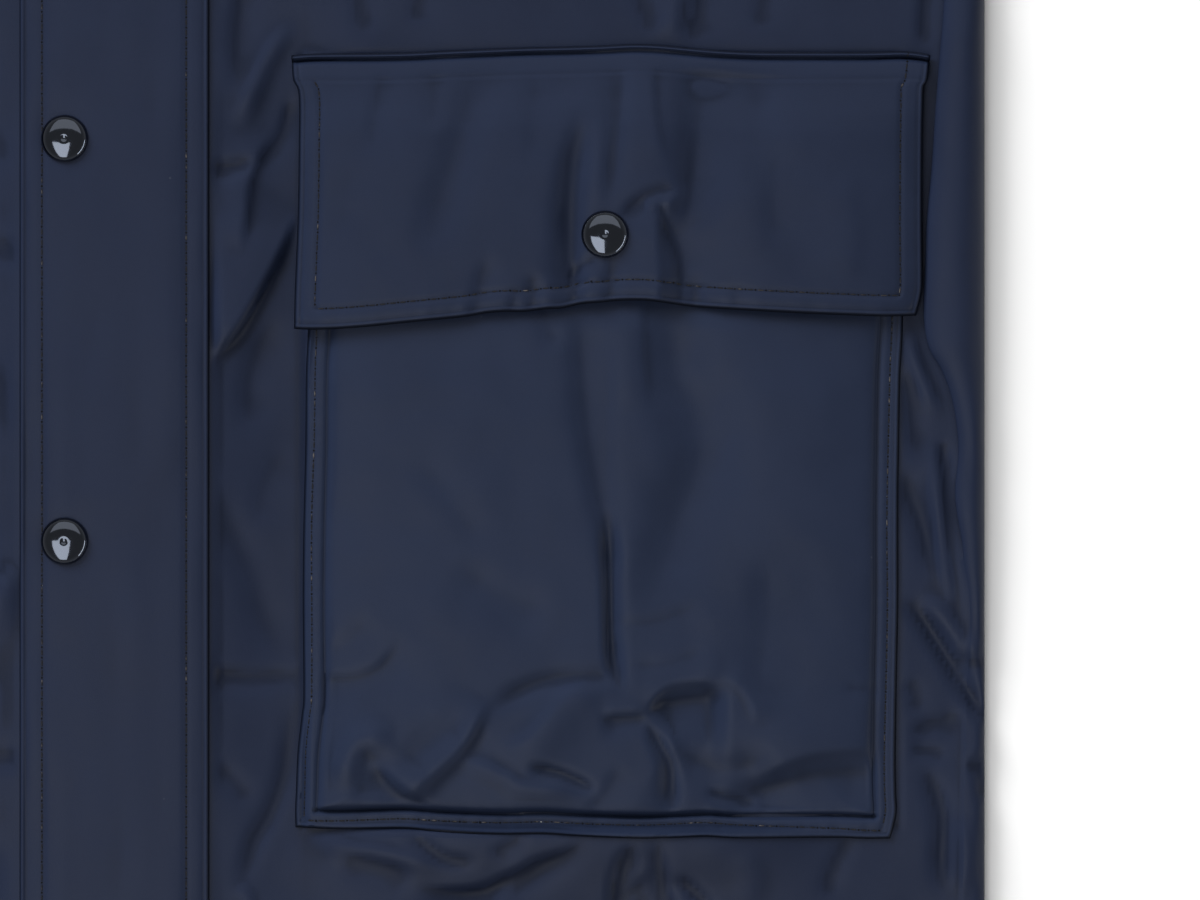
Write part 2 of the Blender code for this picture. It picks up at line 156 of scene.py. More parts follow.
def crease_height(x, y, creases, origin=(0.0, 0.0)):
    """The height, in millimetres, that a table of creases adds at the points x, y."""
    height = np.zeros_like(x)
    for path, left, right, rise in creases:
        curve = through(path) + np.asarray(origin)
        reach = FLAT_BEYOND * GENTLE * max(np.max(left), np.max(right))
        low, high = curve.min(0) - reach, curve.max(0) + reach
        near = (x > low[0]) & (x < high[0]) & (y > low[1]) & (y < high[1])
        if not near.any():
            continue
        px, py = x[near], y[near]
        lengths = np.hypot(*np.diff(curve, axis=0).T)
        total, run = lengths.sum(), 0.0
        best = np.full(px.shape, np.inf)
        on_left, place = np.ones(px.shape, bool), np.zeros(px.shape)
        for start, end, length in zip(curve, curve[1:], lengths):
            step = end - start
            t = np.clip(((px - start[0]) * step[0] + (py - start[1]) * step[1]) / length ** 2, 0, 1)
            ex, ey = px - start[0] - t * step[0], py - start[1] - t * step[1]
            away = np.hypot(ex, ey)
            nearer = away < best
            best = np.where(nearer, away, best)
            on_left = np.where(nearer, step[0] * ey - step[1] * ex > 0, on_left)
            place = np.where(nearer, (run + t * length) / total, place)
            run += length
        ends = [np.interp(place, (0, 1), np.broadcast_to(side_reach, 2)) for side_reach in (left, right)]
        width = np.maximum(np.where(on_left, *ends), SHARPEST)
        whole = curve[-1] - curve[0]
        facing = (whole[0] * UPHILL[1] - whole[1] * UPHILL[0]) / np.hypot(*whole) * np.sign(rise)
        width *= 1 + (GENTLE - 1) * np.clip(np.where(on_left, facing, -facing), 0, 1)
        fade = ease(place / FADE) * ease((1 - place) / FADE)
        height[near] += ridge(best, 0.0, width, rise) * fade
    return height


def uneven(x, y, size, seed):
    """Soft unevenness of about plus or minus one, in patches of the given size in millimetres."""
    flat = [noise.noise((a / size, b / size, seed)) for a, b in zip(x.ravel(), y.ravel())]
    return np.array(flat).reshape(x.shape)


# %% [markdown]
# ## Lattices
# A piece is a lattice of lines. Lines are close together where there is a hem, a bead or a stitched edge,
# and wider apart in the plain middle, so the fine detail is real geometry and the piece stays light.


# %% Lattice lines
def runs(*stretches):
    """Lines from stretches of (start, end, pitch), joined end to end."""
    lines = [np.linspace(start, end, max(1, round((end - start) / pitch)), endpoint=False)
             for start, end, pitch in stretches]
    return np.concatenate([*lines, [stretches[-1][1]]])


def between(low_border, low_pitch, high_border, high_pitch, span, pitch):
    """Lines across a piece whose edges wander: each is a share of the way over, plus an offset."""
    low = np.linspace(0, low_border, max(1, round(low_border / low_pitch)), endpoint=False)
    high = -np.linspace(high_border, 0, max(2, round(high_border / high_pitch) + 1))
    middle = np.linspace(0, 1, max(2, round((span - low_border - high_border) / pitch)), endpoint=False)
    share = np.concatenate([np.zeros(len(low)), middle, np.ones(len(high))])
    offset = np.concatenate([low, low_border * (1 - middle) - high_border * middle, high])
    return share, offset


# %% [markdown]
# ## From a bmesh to a piece
# Every piece ends in the same way: its bmesh becomes a mesh, which is shaded smooth, gets its materials
# and goes into the scene at the origin. One pair of helpers does that, and counts the triangles.

# %% Finish a piece
TOTALS = {"triangles": 0}


def mesh_of(name, bm):
    """A named mesh from a bmesh, which isn't needed after that."""
    mesh = bpy.data.meshes.new(name)
    bm.to_mesh(mesh)
    bm.free()
    return mesh


def finished(mesh, materials, sharp_from=None):
    """A smooth piece in the scene. Edges sharper than sharp_from, in degrees, stay sharp."""
    mesh.shade_smooth()
    if sharp_from is not None:
        mesh.set_sharp_from_angle(angle=math.radians(sharp_from))
    for material in materials:
        mesh.materials.append(material)
    piece = bpy.data.objects.new(mesh.name, mesh)
    bpy.context.scene.collection.objects.link(piece)
    triangles = sum(len(face.vertices) - 2 for face in mesh.polygons)
    TOTALS["triangles"] += triangles
    print(f"{mesh.name}: {triangles} triangles")
    return piece


# %% [markdown]
# ## A closed wall from a lattice
# `create_grid` makes the sheet and `extrude_face_region` gives it a second face and a rim, so the wall is
# closed without a list of faces. Then both faces are moved to their places. A signed `relief` is kept on
# every point: above zero on a bead or a crest, where the coating is rubbed, and below zero in a groove,
# where the colour is darkened as painted shade. The very rim of a piece gets the darkest painted shade,
# for the shadow where a folded edge rolls under.

# %% Relief of a lattice
RELIEF_SCALE = 0.12
# The two outermost lines of a lattice get a very low relief: painted shade along the rim of every piece.
RIM_SHADE_RELIEF = ((1, -1.7), (0, -3.2))
BLUR_ROUNDS = 6


def blurred(height):
    """The height smoothed over its neighbours on the lattice."""
    for _ in range(BLUR_ROUNDS):
        padded = np.pad(height, 1, mode="edge")
        beside = padded[:-2, 1:-1] + padded[2:, 1:-1] + padded[1:-1, :-2] + padded[1:-1, 2:]
        height = (beside + 4 * height) / 8
    return height


def relief_of(skin):
    """Above zero on crests, below zero in grooves, and lowest on the rim."""
    relief = np.clip((skin[..., 2] - blurred(skin[..., 2])) / RELIEF_SCALE, -1, 1)
    # painted shade: the rim lines are set below every groove
    for line, depth in RIM_SHADE_RELIEF:
        for rim in (relief[line], relief[-1 - line], relief[:, line], relief[:, -1 - line]):
            rim[:] = depth
    return relief


def cell_normals(skin):
    """A vector square to each cell of a lattice, as long as the cell is large."""
    return np.cross(np.diff(skin[:-1], axis=1), np.diff(skin[:, :-1], axis=0))


# %% Build a cloth wall
RIM_ANGLE = 60.0


def shell(name, skin, backing, finishes):
    """A closed cloth wall: skin and backing are lattices of points, finishes the outer and inner material."""
    rows, columns, _ = skin.shape
    bm = bmesh.new()
    bmesh.ops.create_grid(bm, x_segments=columns - 1, y_segments=rows - 1, size=1.0)
    grown = bmesh.ops.extrude_face_region(bm, geom=bm.faces[:], use_keep_orig=True)
    under = [item for item in grown["geom"] if isinstance(item, bmesh.types.BMVert)]
    bmesh.ops.translate(bm, verts=under, vec=(0, 0, -1))
    bmesh.ops.recalc_face_normals(bm, faces=bm.faces[:])
    mesh = mesh_of(name, bm)
    spots = np.empty(len(mesh.vertices) * 3)
    mesh.vertices.foreach_get("co", spots)
    spots = spots.reshape(-1, 3)
    column = np.rint((spots[:, 0] + 1) / 2 * (columns - 1)).astype(int)
    row = np.rint((spots[:, 1] + 1) / 2 * (rows - 1)).astype(int)
    outer = spots[:, 2] > -0.5
    placed = np.where(outer[:, None], skin[row, column], backing[row, column]) + (0.0, HEM, 0.0)
    mesh.vertices.foreach_set("co", (placed * MM).ravel())
    corners = np.empty(len(mesh.loops), int)
    mesh.loops.foreach_get("vertex_index", corners)
    inner_face = ~outer[corners.reshape(-1, 4)].any(axis=1)
    mesh.polygons.foreach_set("material_index", inner_face.astype(int))
    relief = mesh.attributes.new("relief", "FLOAT", "POINT")
    relief.data.foreach_set("value", np.where(outer, relief_of(skin)[row, column], 0.0))
    if (cell_normals(skin) * (skin - backing)[:-1, :-1]).sum() < 0:
        mesh.flip_normals()
    return finished(mesh, finishes, RIM_ANGLE)


def join_frame(piece, node):
    """The piece stands for its solid and moves with the coat."""
    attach(piece, "root")
    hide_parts(node)


# %% [markdown]
# ## Effects shared by the materials
# Two node groups are built once. `cloth_grain` gives a fine pebble, a broad mottle and a few specks of
# dust. `wear_and_painted_shade` turns `relief` into masks: rubbed crests, and painted shade in grooves.


# %% Node helpers
def feed(tree, node, inputs):
    """Feed a node: each input is (its name or number, a socket to link or a plain value)."""
    for name, source in inputs:
        if isinstance(source, bpy.types.NodeSocket):
            tree.links.new(source, node.inputs[name])
        else:
            node.inputs[name].default_value = source


def add_node(tree, kind, inputs=(), **settings):
    """A new node with its settings made and its inputs fed."""
    node = tree.nodes.new(kind)
    for setting, value in settings.items():
        setattr(node, setting, value)
    feed(tree, node, inputs)
    return node


def times(tree, first, second):
    """The product of two values."""
    return add_node(tree, "ShaderNodeMath", [(0, first), (1, second)], operation="MULTIPLY").outputs["Value"]


def spread(tree, value, start, end, low=0.0, high=1.0, **settings):
    """Low where the value is at its start, high where it is at its end, and even between."""
    node = add_node(tree, "ShaderNodeMapRange", [
        ("Value", value), ("From Min", start), ("From Max", end), ("To Min", low), ("To Max", high)],
        **settings)
    return node.outputs["Result"]


def noise_of(tree, place, scale, detail=2.0, roughness=0.5):
    """A soft noise from 0 to 1, with about this many patches to the metre."""
    node = add_node(tree, "ShaderNodeTexNoise", [
        ("Vector", place), ("Scale", scale), ("Detail", detail), ("Roughness", roughness)])
    return node.outputs["Fac"]


def blend(tree, share, low, high):
    """The colour this share of the way from low to high."""
    node = add_node(tree, "ShaderNodeMix", [("Factor", share), (6, low), (7, high)], data_type="RGBA")
    return node.outputs[2]


def bump(tree, height, strength, distance):
    """A normal for relief that is too fine for geometry."""
    node = add_node(tree, "ShaderNodeBump", [
        ("Height", height), ("Strength", strength), ("Distance", distance)])
    return node.outputs["Normal"]


def new_group(name, inputs, outputs):
    """An empty shader group with named float or vector sockets, its entry and its exit."""
    group = bpy.data.node_groups.new(name, "ShaderNodeTree")
    for socket, kind in inputs:
        group.interface.new_socket(socket, in_out="INPUT", socket_type=kind)
    for socket, kind in outputs:
        group.interface.new_socket(socket, in_out="OUTPUT", socket_type=kind)
    return group, group.nodes.new("NodeGroupInput"), group.nodes.new("NodeGroupOutput")


def new_material(name):
    """A new material, its tree, its Principled shader and the Object coordinates of its piece."""
    material = bpy.data.materials.new(name)
    material.use_nodes = True
    tree = material.node_tree
    place = add_node(tree, "ShaderNodeTexCoord").outputs["Object"]
    return material, tree, tree.nodes["Principled BSDF"], place


# %% The two groups
DUST_CELLS = 110.0
SPECK_EDGE = (0.018, 0.045)
SPECKLESS = 0.84


def grain_group():
    """Pebble height, broad mottle and dust specks, all from Object coordinates."""
    group, entry, leave = new_group(
        "cloth_grain",
        [("Vector", "NodeSocketVector"), ("Grains per metre", "NodeSocketFloat"),
         ("Patches per metre", "NodeSocketFloat")],
        [("Height", "NodeSocketFloat"), ("Mottle", "NodeSocketFloat"), ("Specks", "NodeSocketFloat")],
    )
    place = entry.outputs["Vector"]
    dust = add_node(group, "ShaderNodeTexVoronoi", [("Vector", place), ("Scale", DUST_CELLS)])
    speck = spread(group, dust.outputs["Distance"], *SPECK_EDGE, 1.0, 0.0)
    rare = add_node(group, "ShaderNodeMath", [(0, dust.outputs["Color"]), (1, SPECKLESS)],
                    operation="GREATER_THAN")
    feed(group, leave, [
        ("Height", noise_of(group, place, entry.outputs["Grains per metre"])),
        ("Mottle", noise_of(group, place, entry.outputs["Patches per metre"], detail=4.0, roughness=0.6)),
        ("Specks", times(group, speck, rare.outputs["Value"])),
    ])
    return group


def wear_and_shade_group():
    """Masks for rubbed crests and for painted shade in grooves and on the rim, from the signed relief of a
    piece.
    """
    group, entry, leave = new_group(
        "wear_and_painted_shade", [("Relief", "NodeSocketFloat")],
        [("Crest", "NodeSocketFloat"), ("Groove", "NodeSocketFloat")])
    relief = entry.outputs["Relief"]
    feed(group, leave, [
        ("Crest", spread(group, relief, 0.1, 0.9)),
        # painted shade: this mask darkens grooves and the rim
        ("Groove", spread(group, relief, -0.1, -3.0)),
    ])
    return group


GRAIN = grain_group()
WEAR_AND_SHADE = wear_and_shade_group()
print("node groups:", GRAIN.name, "and", WEAR_AND_SHADE.name)

# %% [markdown]
# ## The coated cloth
# Polyurethane over knit is nearly matte, with a faint satin where it curves. Its colour is a deep navy
# that turns a little lighter where crests are rubbed, and is painted nearly black in grooves as shade. The
# pebble is finer than a third of a millimetre, so it is bump and not geometry.

# %% Coated cloth material
# One coated cloth in three tones: the pocket and flap copies are painted a little lighter than the body, for
# the light on their flatter faces.
NAVY_BODY = (0.0114, 0.0168, 0.0370)
NAVY_BAG = (0.0130, 0.0196, 0.0424)
NAVY_FLAP = (0.0121, 0.0181, 0.0396)
DUST = (0.11, 0.12, 0.15)
MOTTLED = (0.86, 1.14)
RUBBED = (2.1, 2.1, 2.0)
GROOVE_SHADE = 0.12
RUBBED_SHARE = 0.05
DUST_SHARE = 0.25
GRAINS_PER_METRE = 3200.0
PATCHES_PER_METRE = 42.0
CLOTH_ROUGHNESS = 0.46
CLOTH_SPECULAR = 0.16
PEBBLE_DEPTH = 0.12 * MM


def shade(colour, strength=1.0):
    """The colour made darker or lighter, with its alpha."""
    return (*(np.array(colour) * strength), 1.0)


def coated_cloth(name, navy):
    """Matte navy polyurethane with pebble, mottle, specks, rubbed crests and painted shade in grooves."""
    material, tree, shader, place = new_material(name)
    grain = add_node(tree, "ShaderNodeGroup", [
        ("Vector", place), ("Grains per metre", GRAINS_PER_METRE), ("Patches per metre", PATCHES_PER_METRE)],
        node_tree=GRAIN)
    relief = add_node(tree, "ShaderNodeAttribute", attribute_name="relief")
    wear_and_shade = add_node(tree, "ShaderNodeGroup", [("Relief", relief.outputs["Fac"])], node_tree=WEAR_AND_SHADE)
    mottle = grain.outputs["Mottle"]
    base = blend(tree, mottle, *(shade(navy, strength) for strength in MOTTLED))
    rubbed = blend(tree, times(tree, wear_and_shade.outputs["Crest"], RUBBED_SHARE), base, shade(navy, RUBBED))
    # painted shade: grooves and the rim are darkened towards a near-black navy
    groove_shaded = blend(tree, wear_and_shade.outputs["Groove"], rubbed, shade(navy, GROOVE_SHADE))
    dusted = blend(tree, times(tree, grain.outputs["Specks"], DUST_SHARE), groove_shaded, shade(DUST))
    feed(tree, shader, [
        ("Base Color", dusted),
        ("Roughness", spread(tree, mottle, 0.3, 0.7, CLOTH_ROUGHNESS - 0.04, CLOTH_ROUGHNESS + 0.06)),
        ("Specular IOR Level", CLOTH_SPECULAR),
        ("Normal", bump(tree, grain.outputs["Height"], 0.22, PEBBLE_DEPTH)),
    ])
    return material


# %% [markdown]
# ## The knit behind the coating
# The wrong side of the cloth shows only inside the hood. It is a fine knit in the same navy: soft, with
# rows of tiny loops. Two crossed waves make the loops well enough at this size.

# %% Knit backing material
KNIT_WAVES = (("X", 260.0, 1.2), ("Y", 330.0, 1.5))
KNIT_DARK = (0.010, 0.013, 0.026)
KNIT_LIGHT = (0.026, 0.032, 0.058)


def knit_backing():
    """The uncoated wrong side: a fine rib of loops, without any gloss."""
    material, tree, shader, place = new_material("knit_backing")
    ribs, loops = [
        add_node(tree, "ShaderNodeTexWave", [
            ("Vector", place), ("Scale", scale), ("Distortion", distortion), ("Detail Scale", 3.0)],
            bands_direction=direction).outputs["Fac"]
        for direction, scale, distortion in KNIT_WAVES
    ]
    knit = times(tree, ribs, loops)
    feed(tree, shader, [
        ("Base Color", blend(tree, knit, shade(KNIT_DARK), shade(KNIT_LIGHT))),
        ("Roughness", 0.92),
        ("Normal", bump(tree, knit, 0.5, 0.2 * MM)),
    ])
    return material


BODY_CLOTH = coated_cloth("coated_cloth_body", NAVY_BODY)
BAG_CLOTH = coated_cloth("coated_cloth_pocket", NAVY_BAG)
FLAP_CLOTH = coated_cloth("coated_cloth_flap", NAVY_FLAP)
KNIT = knit_backing()
print("cloths:", BODY_CLOTH.name, BAG_CLOTH.name, FLAP_CLOTH.name, KNIT.name)

# %% [markdown]
# ## Creases round the pocket
# These are drawn from the pocket's middle, each as (path, reach to its left, reach to its right, rise).
# The left and right of a path are as seen when walking along it.

# %% Creases of the front beside, above and below the left pocket
BESIDE_POCKET = (
    # the strip between the storm flap and the pocket, which falls towards the pocket
    (((-80, 150), (-81, 90), (-81, 0), (-81, -80), (-80, -150)), 6.0, 15.0, -2.6),
    (((-76, -103), (-20, -102), (30, -103), (70, -103)), 5.0, 11.0, 3.0),
    (((-79, 113), (-84, 109), (-88.5, 102), (-92, 94), (-96, 84)), 2.6, 1.1, 0.8),
    (((-93, 128), (-94.5, 118), (-95.5, 107), (-95, 94)), 3.0, 2.6, -0.9),
    (((-87, 85), (-90.5, 78), (-93, 71), (-94, 62), (-95.5, 51)), 1.0, 2.8, 0.9),
    (((-81.5, 94), (-82.6, 88), (-84.3, 82.5), (-87.5, 77.8), (-91, 76)), 1.5, 1.0, -0.9),
    (((-79.5, 65), (-82, 60), (-84.6, 53), (-88, 46), (-91, 40.5), (-96, 32), (-101, 26.5), (-107, 22)),
     0.8, 7.0, 2.3),
    (((-109, 75.5), (-104, 74.8), (-98, 74.6), (-93, 76), (-90, 77)), 1.6, 1.5, -1.2),
    (((-83, 36), (-88, 29), (-91.5, 20), (-92, 12), (-91, 4)), 3.2, 3.2, -0.9),
    (((-81, 1), (-86, -5), (-89, -13), (-90, -22)), 3.0, 3.0, -0.4),
    (((-99, -6), (-97, -20), (-91, -34), (-87, -46), (-81, -60)), 3.6, 4.4, -0.9),
    (((-112, -59), (-100, -59.3), (-92, -60), (-84, -59.4), (-76, -60)), 1.8, 2.0, -1.2),
    (((-80.5, -64), (-82, -76), (-83.5, -86), (-87, -96), (-91, -103), (-93, -109), (-96, -118)),
     1.1, 2.4, -1.0),
    (((-102, -82), (-96, -88), (-92, -94)), 2.4, 3.0, -0.35),
    (((-96, -114), (-93, -118), (-92, -124)), 1.4, 1.2, 0.4),
    # below the bag
    (((-80, -100), (-73, -102.6), (-66, -105), (-58, -106.2), (-49, -108.4), (-40, -110.5)), 1.2, 3.2, 0.8),
    (((-70, -107), (-62, -108.8), (-54, -111), (-48, -113)), 3.0, 3.4, -0.8),
    (((-52, -99), (-47, -103), (-42, -107), (-36, -108.4), (-31, -107)), 2.2, 1.6, -0.9),
    (((-50, -115), (-43, -116.6), (-36, -117), (-30, -116), (-23, -112.6), (-15, -108.8), (-8, -106),
      (-2, -101)),
     1.5, 2.4, -1.7),
    (((-29, -107), (-24, -103.6), (-19, -101)), 1.4, 1.4, -0.5),
    (((-17, -107), (-23, -113), (-28, -121)), 2.0, 1.4, 0.5),
    (((10, -102), (6.5, -108), (4.6, -115), (4, -126)), 2.4, 1.6, -1.3),
    (((15, -101), (15.3, -109), (17, -117), (19, -126)), 1.1, 2.4, -0.9),
    (((8, -113), (11, -117), (12, -124)), 3.4, 3.4, -0.8),
    (((19, -112), (24, -116), (30, -122)), 1.8, 2.2, -0.9),
    (((67, -101), (62, -109), (59, -119)), 1.3, 2.2, -0.45),
    (((37, -104), (40, -112), (38, -122)), 2.6, 2.6, 0.3),
    (((-60, -122), (-48, -128), (-30, -130), (-12, -126)), 4.0, 5.0, 1.3),
    # between the bag and the roll along the side
    (((81, 33), (82.4, 26), (84.5, 20), (87, 14), (90, 9)), 0.9, 1.6, 0.8),
    (((87.5, 4), (88.5, -6), (89.3, -15), (90.4, -26), (92.6, -38), (94, -46)), 1.3, 1.3, 1.0),
    (((89.5, 3), (91.6, -5), (93.2, -12)), 1.2, 1.2, -0.8),
    (((79, -3), (82, -13), (85.5, -22), (88, -34)), 2.0, 2.4, -0.9),
    (((80.4, 24), (82, 10), (84, -4)), 2.4, 2.2, -0.5),
    (((78.5, -38), (83.5, -43.5), (88, -50), (92, -56.5), (96, -63), (100, -69), (106, -76)), 2.6, 1.5, -1.9),
    (((84, -38), (90, -44), (95, -51), (99, -57)), 3.0, 2.6, 0.9),
    (((93, -54), (98, -56), (104, -57)), 2.2, 2.6, -0.7),
    (((81, -76), (86.5, -72.4), (91, -71.4), (96, -69)), 1.8, 2.2, -0.6),
    (((81, -78), (87, -79.4), (92, -80)), 1.6, 1.6, -0.5),
    (((80, -60), (83, -65), (82, -70)), 1.8, 1.8, -0.35),
    (((84, -82), (87.5, -88), (89.6, -94), (90.4, -101), (90, -108), (90.6, -118)), 1.5, 2.6, -1.0),
    (((97, -80), (100.5, -86), (102, -94)), 2.2, 2.2, -1.0),
    (((94, -96), (96.5, -106), (95, -118)), 3.0, 2.4, 0.6),
    # above the flap
    (((8, 126), (11.5, 117), (14.5, 109)), 2.4, 2.2, -0.6),
    (((25.5, 130), (23.6, 118), (21.8, 106)), 1.2, 4.2, 1.0),
    (((24.5, 128), (22.6, 117), (21.4, 107)), 4.6, 1.3, -0.9),
    (((44, 124), (42.4, 117), (42, 110)), 2.0, 2.0, -0.35),
    (((-66, 128), (-63.4, 118), (-62, 108)), 2.2, 2.6, -0.5),
    (((-47, 124), (-49, 112)), 1.8, 1.8, -0.3),
    (((86.4, 124), (85.4, 114), (85.6, 105)), 1.8, 1.8, -0.6),
)

# %% Creases of the pocket bag
ON_BAG = (
    # the long groove under the snap, and the ridge on its right
    (((-4.6, 46), (-4.4, 30), (-4.0, 18), (-3.0, 8), (-1.8, -2), (0.2, -12), (1.8, -22), (2.4, -34)),
     (5.0, 2.0), (4.6, 3.0), -1.3),
    (((1.4, -14), (2.5, -28), (2.8, -38), (2.9, -48), (3.3, -55), (4.8, -61), (7.2, -66)),
     1.5, (2.2, 1.3), -2.6),
    (((3.8, -26), (4.2, -40), (4.4, -56)), 1.4, 1.0, 0.5),
    # the broad slope on the right of the middle
    (((19, 54), (19.4, 32), (20.4, 20), (24.6, 10), (27, 0), (25.2, -9), (21.6, -18), (18.6, -28), (15, -38),
      (12.6, -50)), (4.0, 8.0), 8.0, -2.7),
    (((10, 50), (10.2, 32), (10.8, 20), (12.4, 8)), 1.6, 5.0, 0.6),
    # the pinch, and the hollow that opens from it
    (((11.4, -70.4), (17, -67.6), (24, -66.6), (35, -66.6)), (1.6, 4.8), (3.0, 9.0), -3.0),
    (((11.6, -71), (14, -65), (17.6, -61.5), (23, -60.2), (29, -60.6), (35, -62)), 4.0, 1.5, 0.8),
    (((31, -59), (36.6, -61.6), (40, -66), (42, -73)), 5.0, 1.4, 0.8),
    (((12.2, -68.6), (13.6, -74), (16.4, -79), (18.4, -85), (18.6, -98)), 1.4, (1.2, 3.4), -1.6),
    (((14.6, -70.2), (8, -70.8), (-1, -71.6)), 2.2, 1.2, -0.9),
    (((12, -68.4), (6, -68.2), (0, -68.6)), 1.2, 1.2, 0.35),
    (((17, -78), (25, -82.6), (33, -84.6), (40, -83.2), (47, -79)), 4.2, 8.0, -1.8),
    # the ridge and the trough that run down to the left of the groove
    (((9, -58), (-2, -59.8), (-12, -60.4), (-20, -63), (-31, -69)), 1.5, 2.6, -1.3),
    (((4, -59.6), (-4, -62.4), (-9.2, -66.4), (-13.4, -71.4), (-18.4, -76.6), (-28, -82)), 7.0, 1.8, 1.4),
    # the strong fold at the lower left, steep on its lower side
    (((-30, -64.6), (-35, -74.4), (-38.8, -79.2), (-43.8, -83.6), (-48.8, -88), (-55, -94)),
     (1.8, 4.0), 5.0, 2.6),
    (((-31, -69), (-43, -76.6), (-48.6, -81), (-54, -88)), 3.5, 5.5, -1.9),
    (((-69, -90), (-65.8, -80), (-61.4, -75.6), (-53, -75)), 2.0, 5.0, 1.4),
    (((-59.6, -76), (-61.4, -84), (-63, -94)), 3.0, 3.5, -1.0),
    (((-61, -82.6), (-55, -88.6), (-50.6, -92), (-43, -95)), 1.8, 3.0, -1.3),
    (((-39, -80.4), (-30.6, -83.4), (-25, -86), (-19.6, -88.8), (-4, -90)), 1.3, 2.6, 0.8),
    (((-20, -83), (-11.6, -85), (-7, -86.8), (0, -90)), 1.6, 1.0, -1.4),
    # the trough at the lower right
    (((29, -94), (43, -90.6), (51, -88), (59, -86.4), (80, -86)), (3.4, 5.0), 7.0, -2.8),
    (((38, -87), (49, -81.6), (57, -79), (66, -78), (80, -78)), 6.0, 1.8, 0.7),
    (((27, -89.4), (34, -91.6), (42, -94)), 1.3, 1.3, -0.9),
    # soft ones
    (((-80, -60.4), (-68, -60.8), (-61, -59.4), (-56, -56), (-51, -48)), 1.8, 3.6, -0.85),
    (((-74, -56), (-66, -50), (-60, -43)), 2.6, 2.6, -0.39),
    (((45, -22), (44.6, -45), (42.6, -60), (44, -78)), 12.0, 5.5, -0.85),
    (((0, -45), (10, -46), (18, -44.4), (28, -40)), 2.2, 6.0, -0.59),
    (((5, -57), (18, -56.6), (29, -52)), 2.6, 5.0, -0.52),
    (((-40, -30), (-26, -38.6), (-11, -44.6)), 5.0, 6.0, -0.85),
    (((-52, 0), (-42, -9), (-36, -17), (-29, -28)), 4.0, 4.0, -0.39),
    (((-19, 45), (-14.4, 34), (-10.6, 25)), 2.0, 3.0, -0.52),
    (((63, -62.2), (69, -62.7), (75, -62.6)), 0.9, 0.9, -0.26),
    (((-66, 30), (-60, 4), (-63, -20)), 8.0, 8.0, 0.39),
    (((58, 30), (53, 0), (58, -30)), 10.0, 10.0, 0.45),
    (((-30, 28), (-35, 2), (-28, -24)), 10.0, 12.0, 0.39),
    (((-71, -54), (-71.4, -74), (-71, -96)), 3.0, 1.2, -0.33),
    (((6, -82), (2, -90), (-4, -96)), 2.4, 2.0, -0.39),
    (((2, 32), (1.6, 8), (1.4, -12)), 1.4, 2.6, -0.26),
)

# %% Creases of the pocket flap
ON_FLAP = (
    # left of the snap
    (((-2.6, 93), (-5.6, 82), (-7.2, 74), (-7.9, 64), (-8, 54), (-7.6, 46), (-6.8, 28)),
     (2.6, 1.3), (3.2, 4.69),
     -2.2),
    (((-31, 103), (-35, 88), (-38, 77), (-41, 67), (-47, 50)), 3.2, 5.0, -1.31),
    (((-44, 102), (-43.4, 93), (-44.4, 83)), 2.0, 3.0, -0.47),
    (((-17, 102), (-16.4, 88), (-18, 73)), 5.0, 3.5, -0.47),
    (((-8.8, 42.6), (-5.4, 47.6), (0, 52)), 1.3, 1.3, -0.75),
    # above and right of the snap
    (((4.6, 106), (4.3, 91), (3.2, 78), (1.8, 62)), 1.6, (4.8, 1.6), -0.94),
    (((28, 108), (27, 90), (25.6, 79), (24.4, 69), (22.2, 57)), (12.0, 2.4), (9.5, 2.2), -2.63),
    (((12.6, 106), (13, 93), (14.6, 82), (18.6, 72)), 1.6, 5.0, 0.65),
    (((4.6, 59.6), (9.6, 64.6), (13.6, 67.2), (18, 68.2), (22, 66)), 1.8, 2.0, -1.12),
    (((11, 63), (16, 65.6), (20.4, 63.6)), 1.6, 1.6, 0.65),
    (((15, 67), (18.2, 58.6), (21, 52), (22, 45), (21, 28)), 7.0, (1.4, 4.6), -2.34),
    (((14.4, 66), (14.8, 54), (15.2, 44), (15.6, 28)), 1.4, 4.0, 0.65),
    (((3.4, 53), (2.8, 44), (2.4, 30)), 1.4, 2.0, -0.65),
    # puckers of the lower edge
    (((-28, 53), (-31, 44), (-33.6, 28)), 2.0, 2.4, -0.57),
    (((-17.2, 48), (-17.6, 40), (-17, 28)), 1.4, 2.4, -0.75),
    (((-21.6, 44), (-23, 37), (-23.4, 28)), 1.2, 1.6, -0.47),
    (((24, 47), (25, 39), (25, 28)), 1.6, 2.0, -0.57),
    (((35, 45), (36.4, 38), (36, 28)), 1.4, 1.8, -0.37),
    # soft ones
    (((41, 102), (42, 84), (40, 66)), 3.0, 4.0, -0.57),
    (((48, 84), (46, 68), (47, 50)), 3.6, 3.6, -0.47),
    (((62, 74), (66, 58), (64, 42)), 4.0, 4.0, 0.47),
    (((-61, 88), (-66, 70), (-68, 52)), 4.0, 4.0, -0.47),
    (((-56, 103), (-58.6, 90), (-60.6, 77)), 2.4, 2.4, -0.47),
)
print("creases by the pocket:", len(BESIDE_POCKET) + len(ON_BAG) + len(ON_FLAP))

# %% [markdown]
# ## Folds of the whole coat
# The big folds are the ones that the solids have: the coat was filled with air when it was laid down, so
# soft ridges run across the chest, up from the hem and round the sleeves. Smaller creases branch off from
# them. The right pocket has the left one's creases turned top to bottom, so that the two sides aren't
# twins.

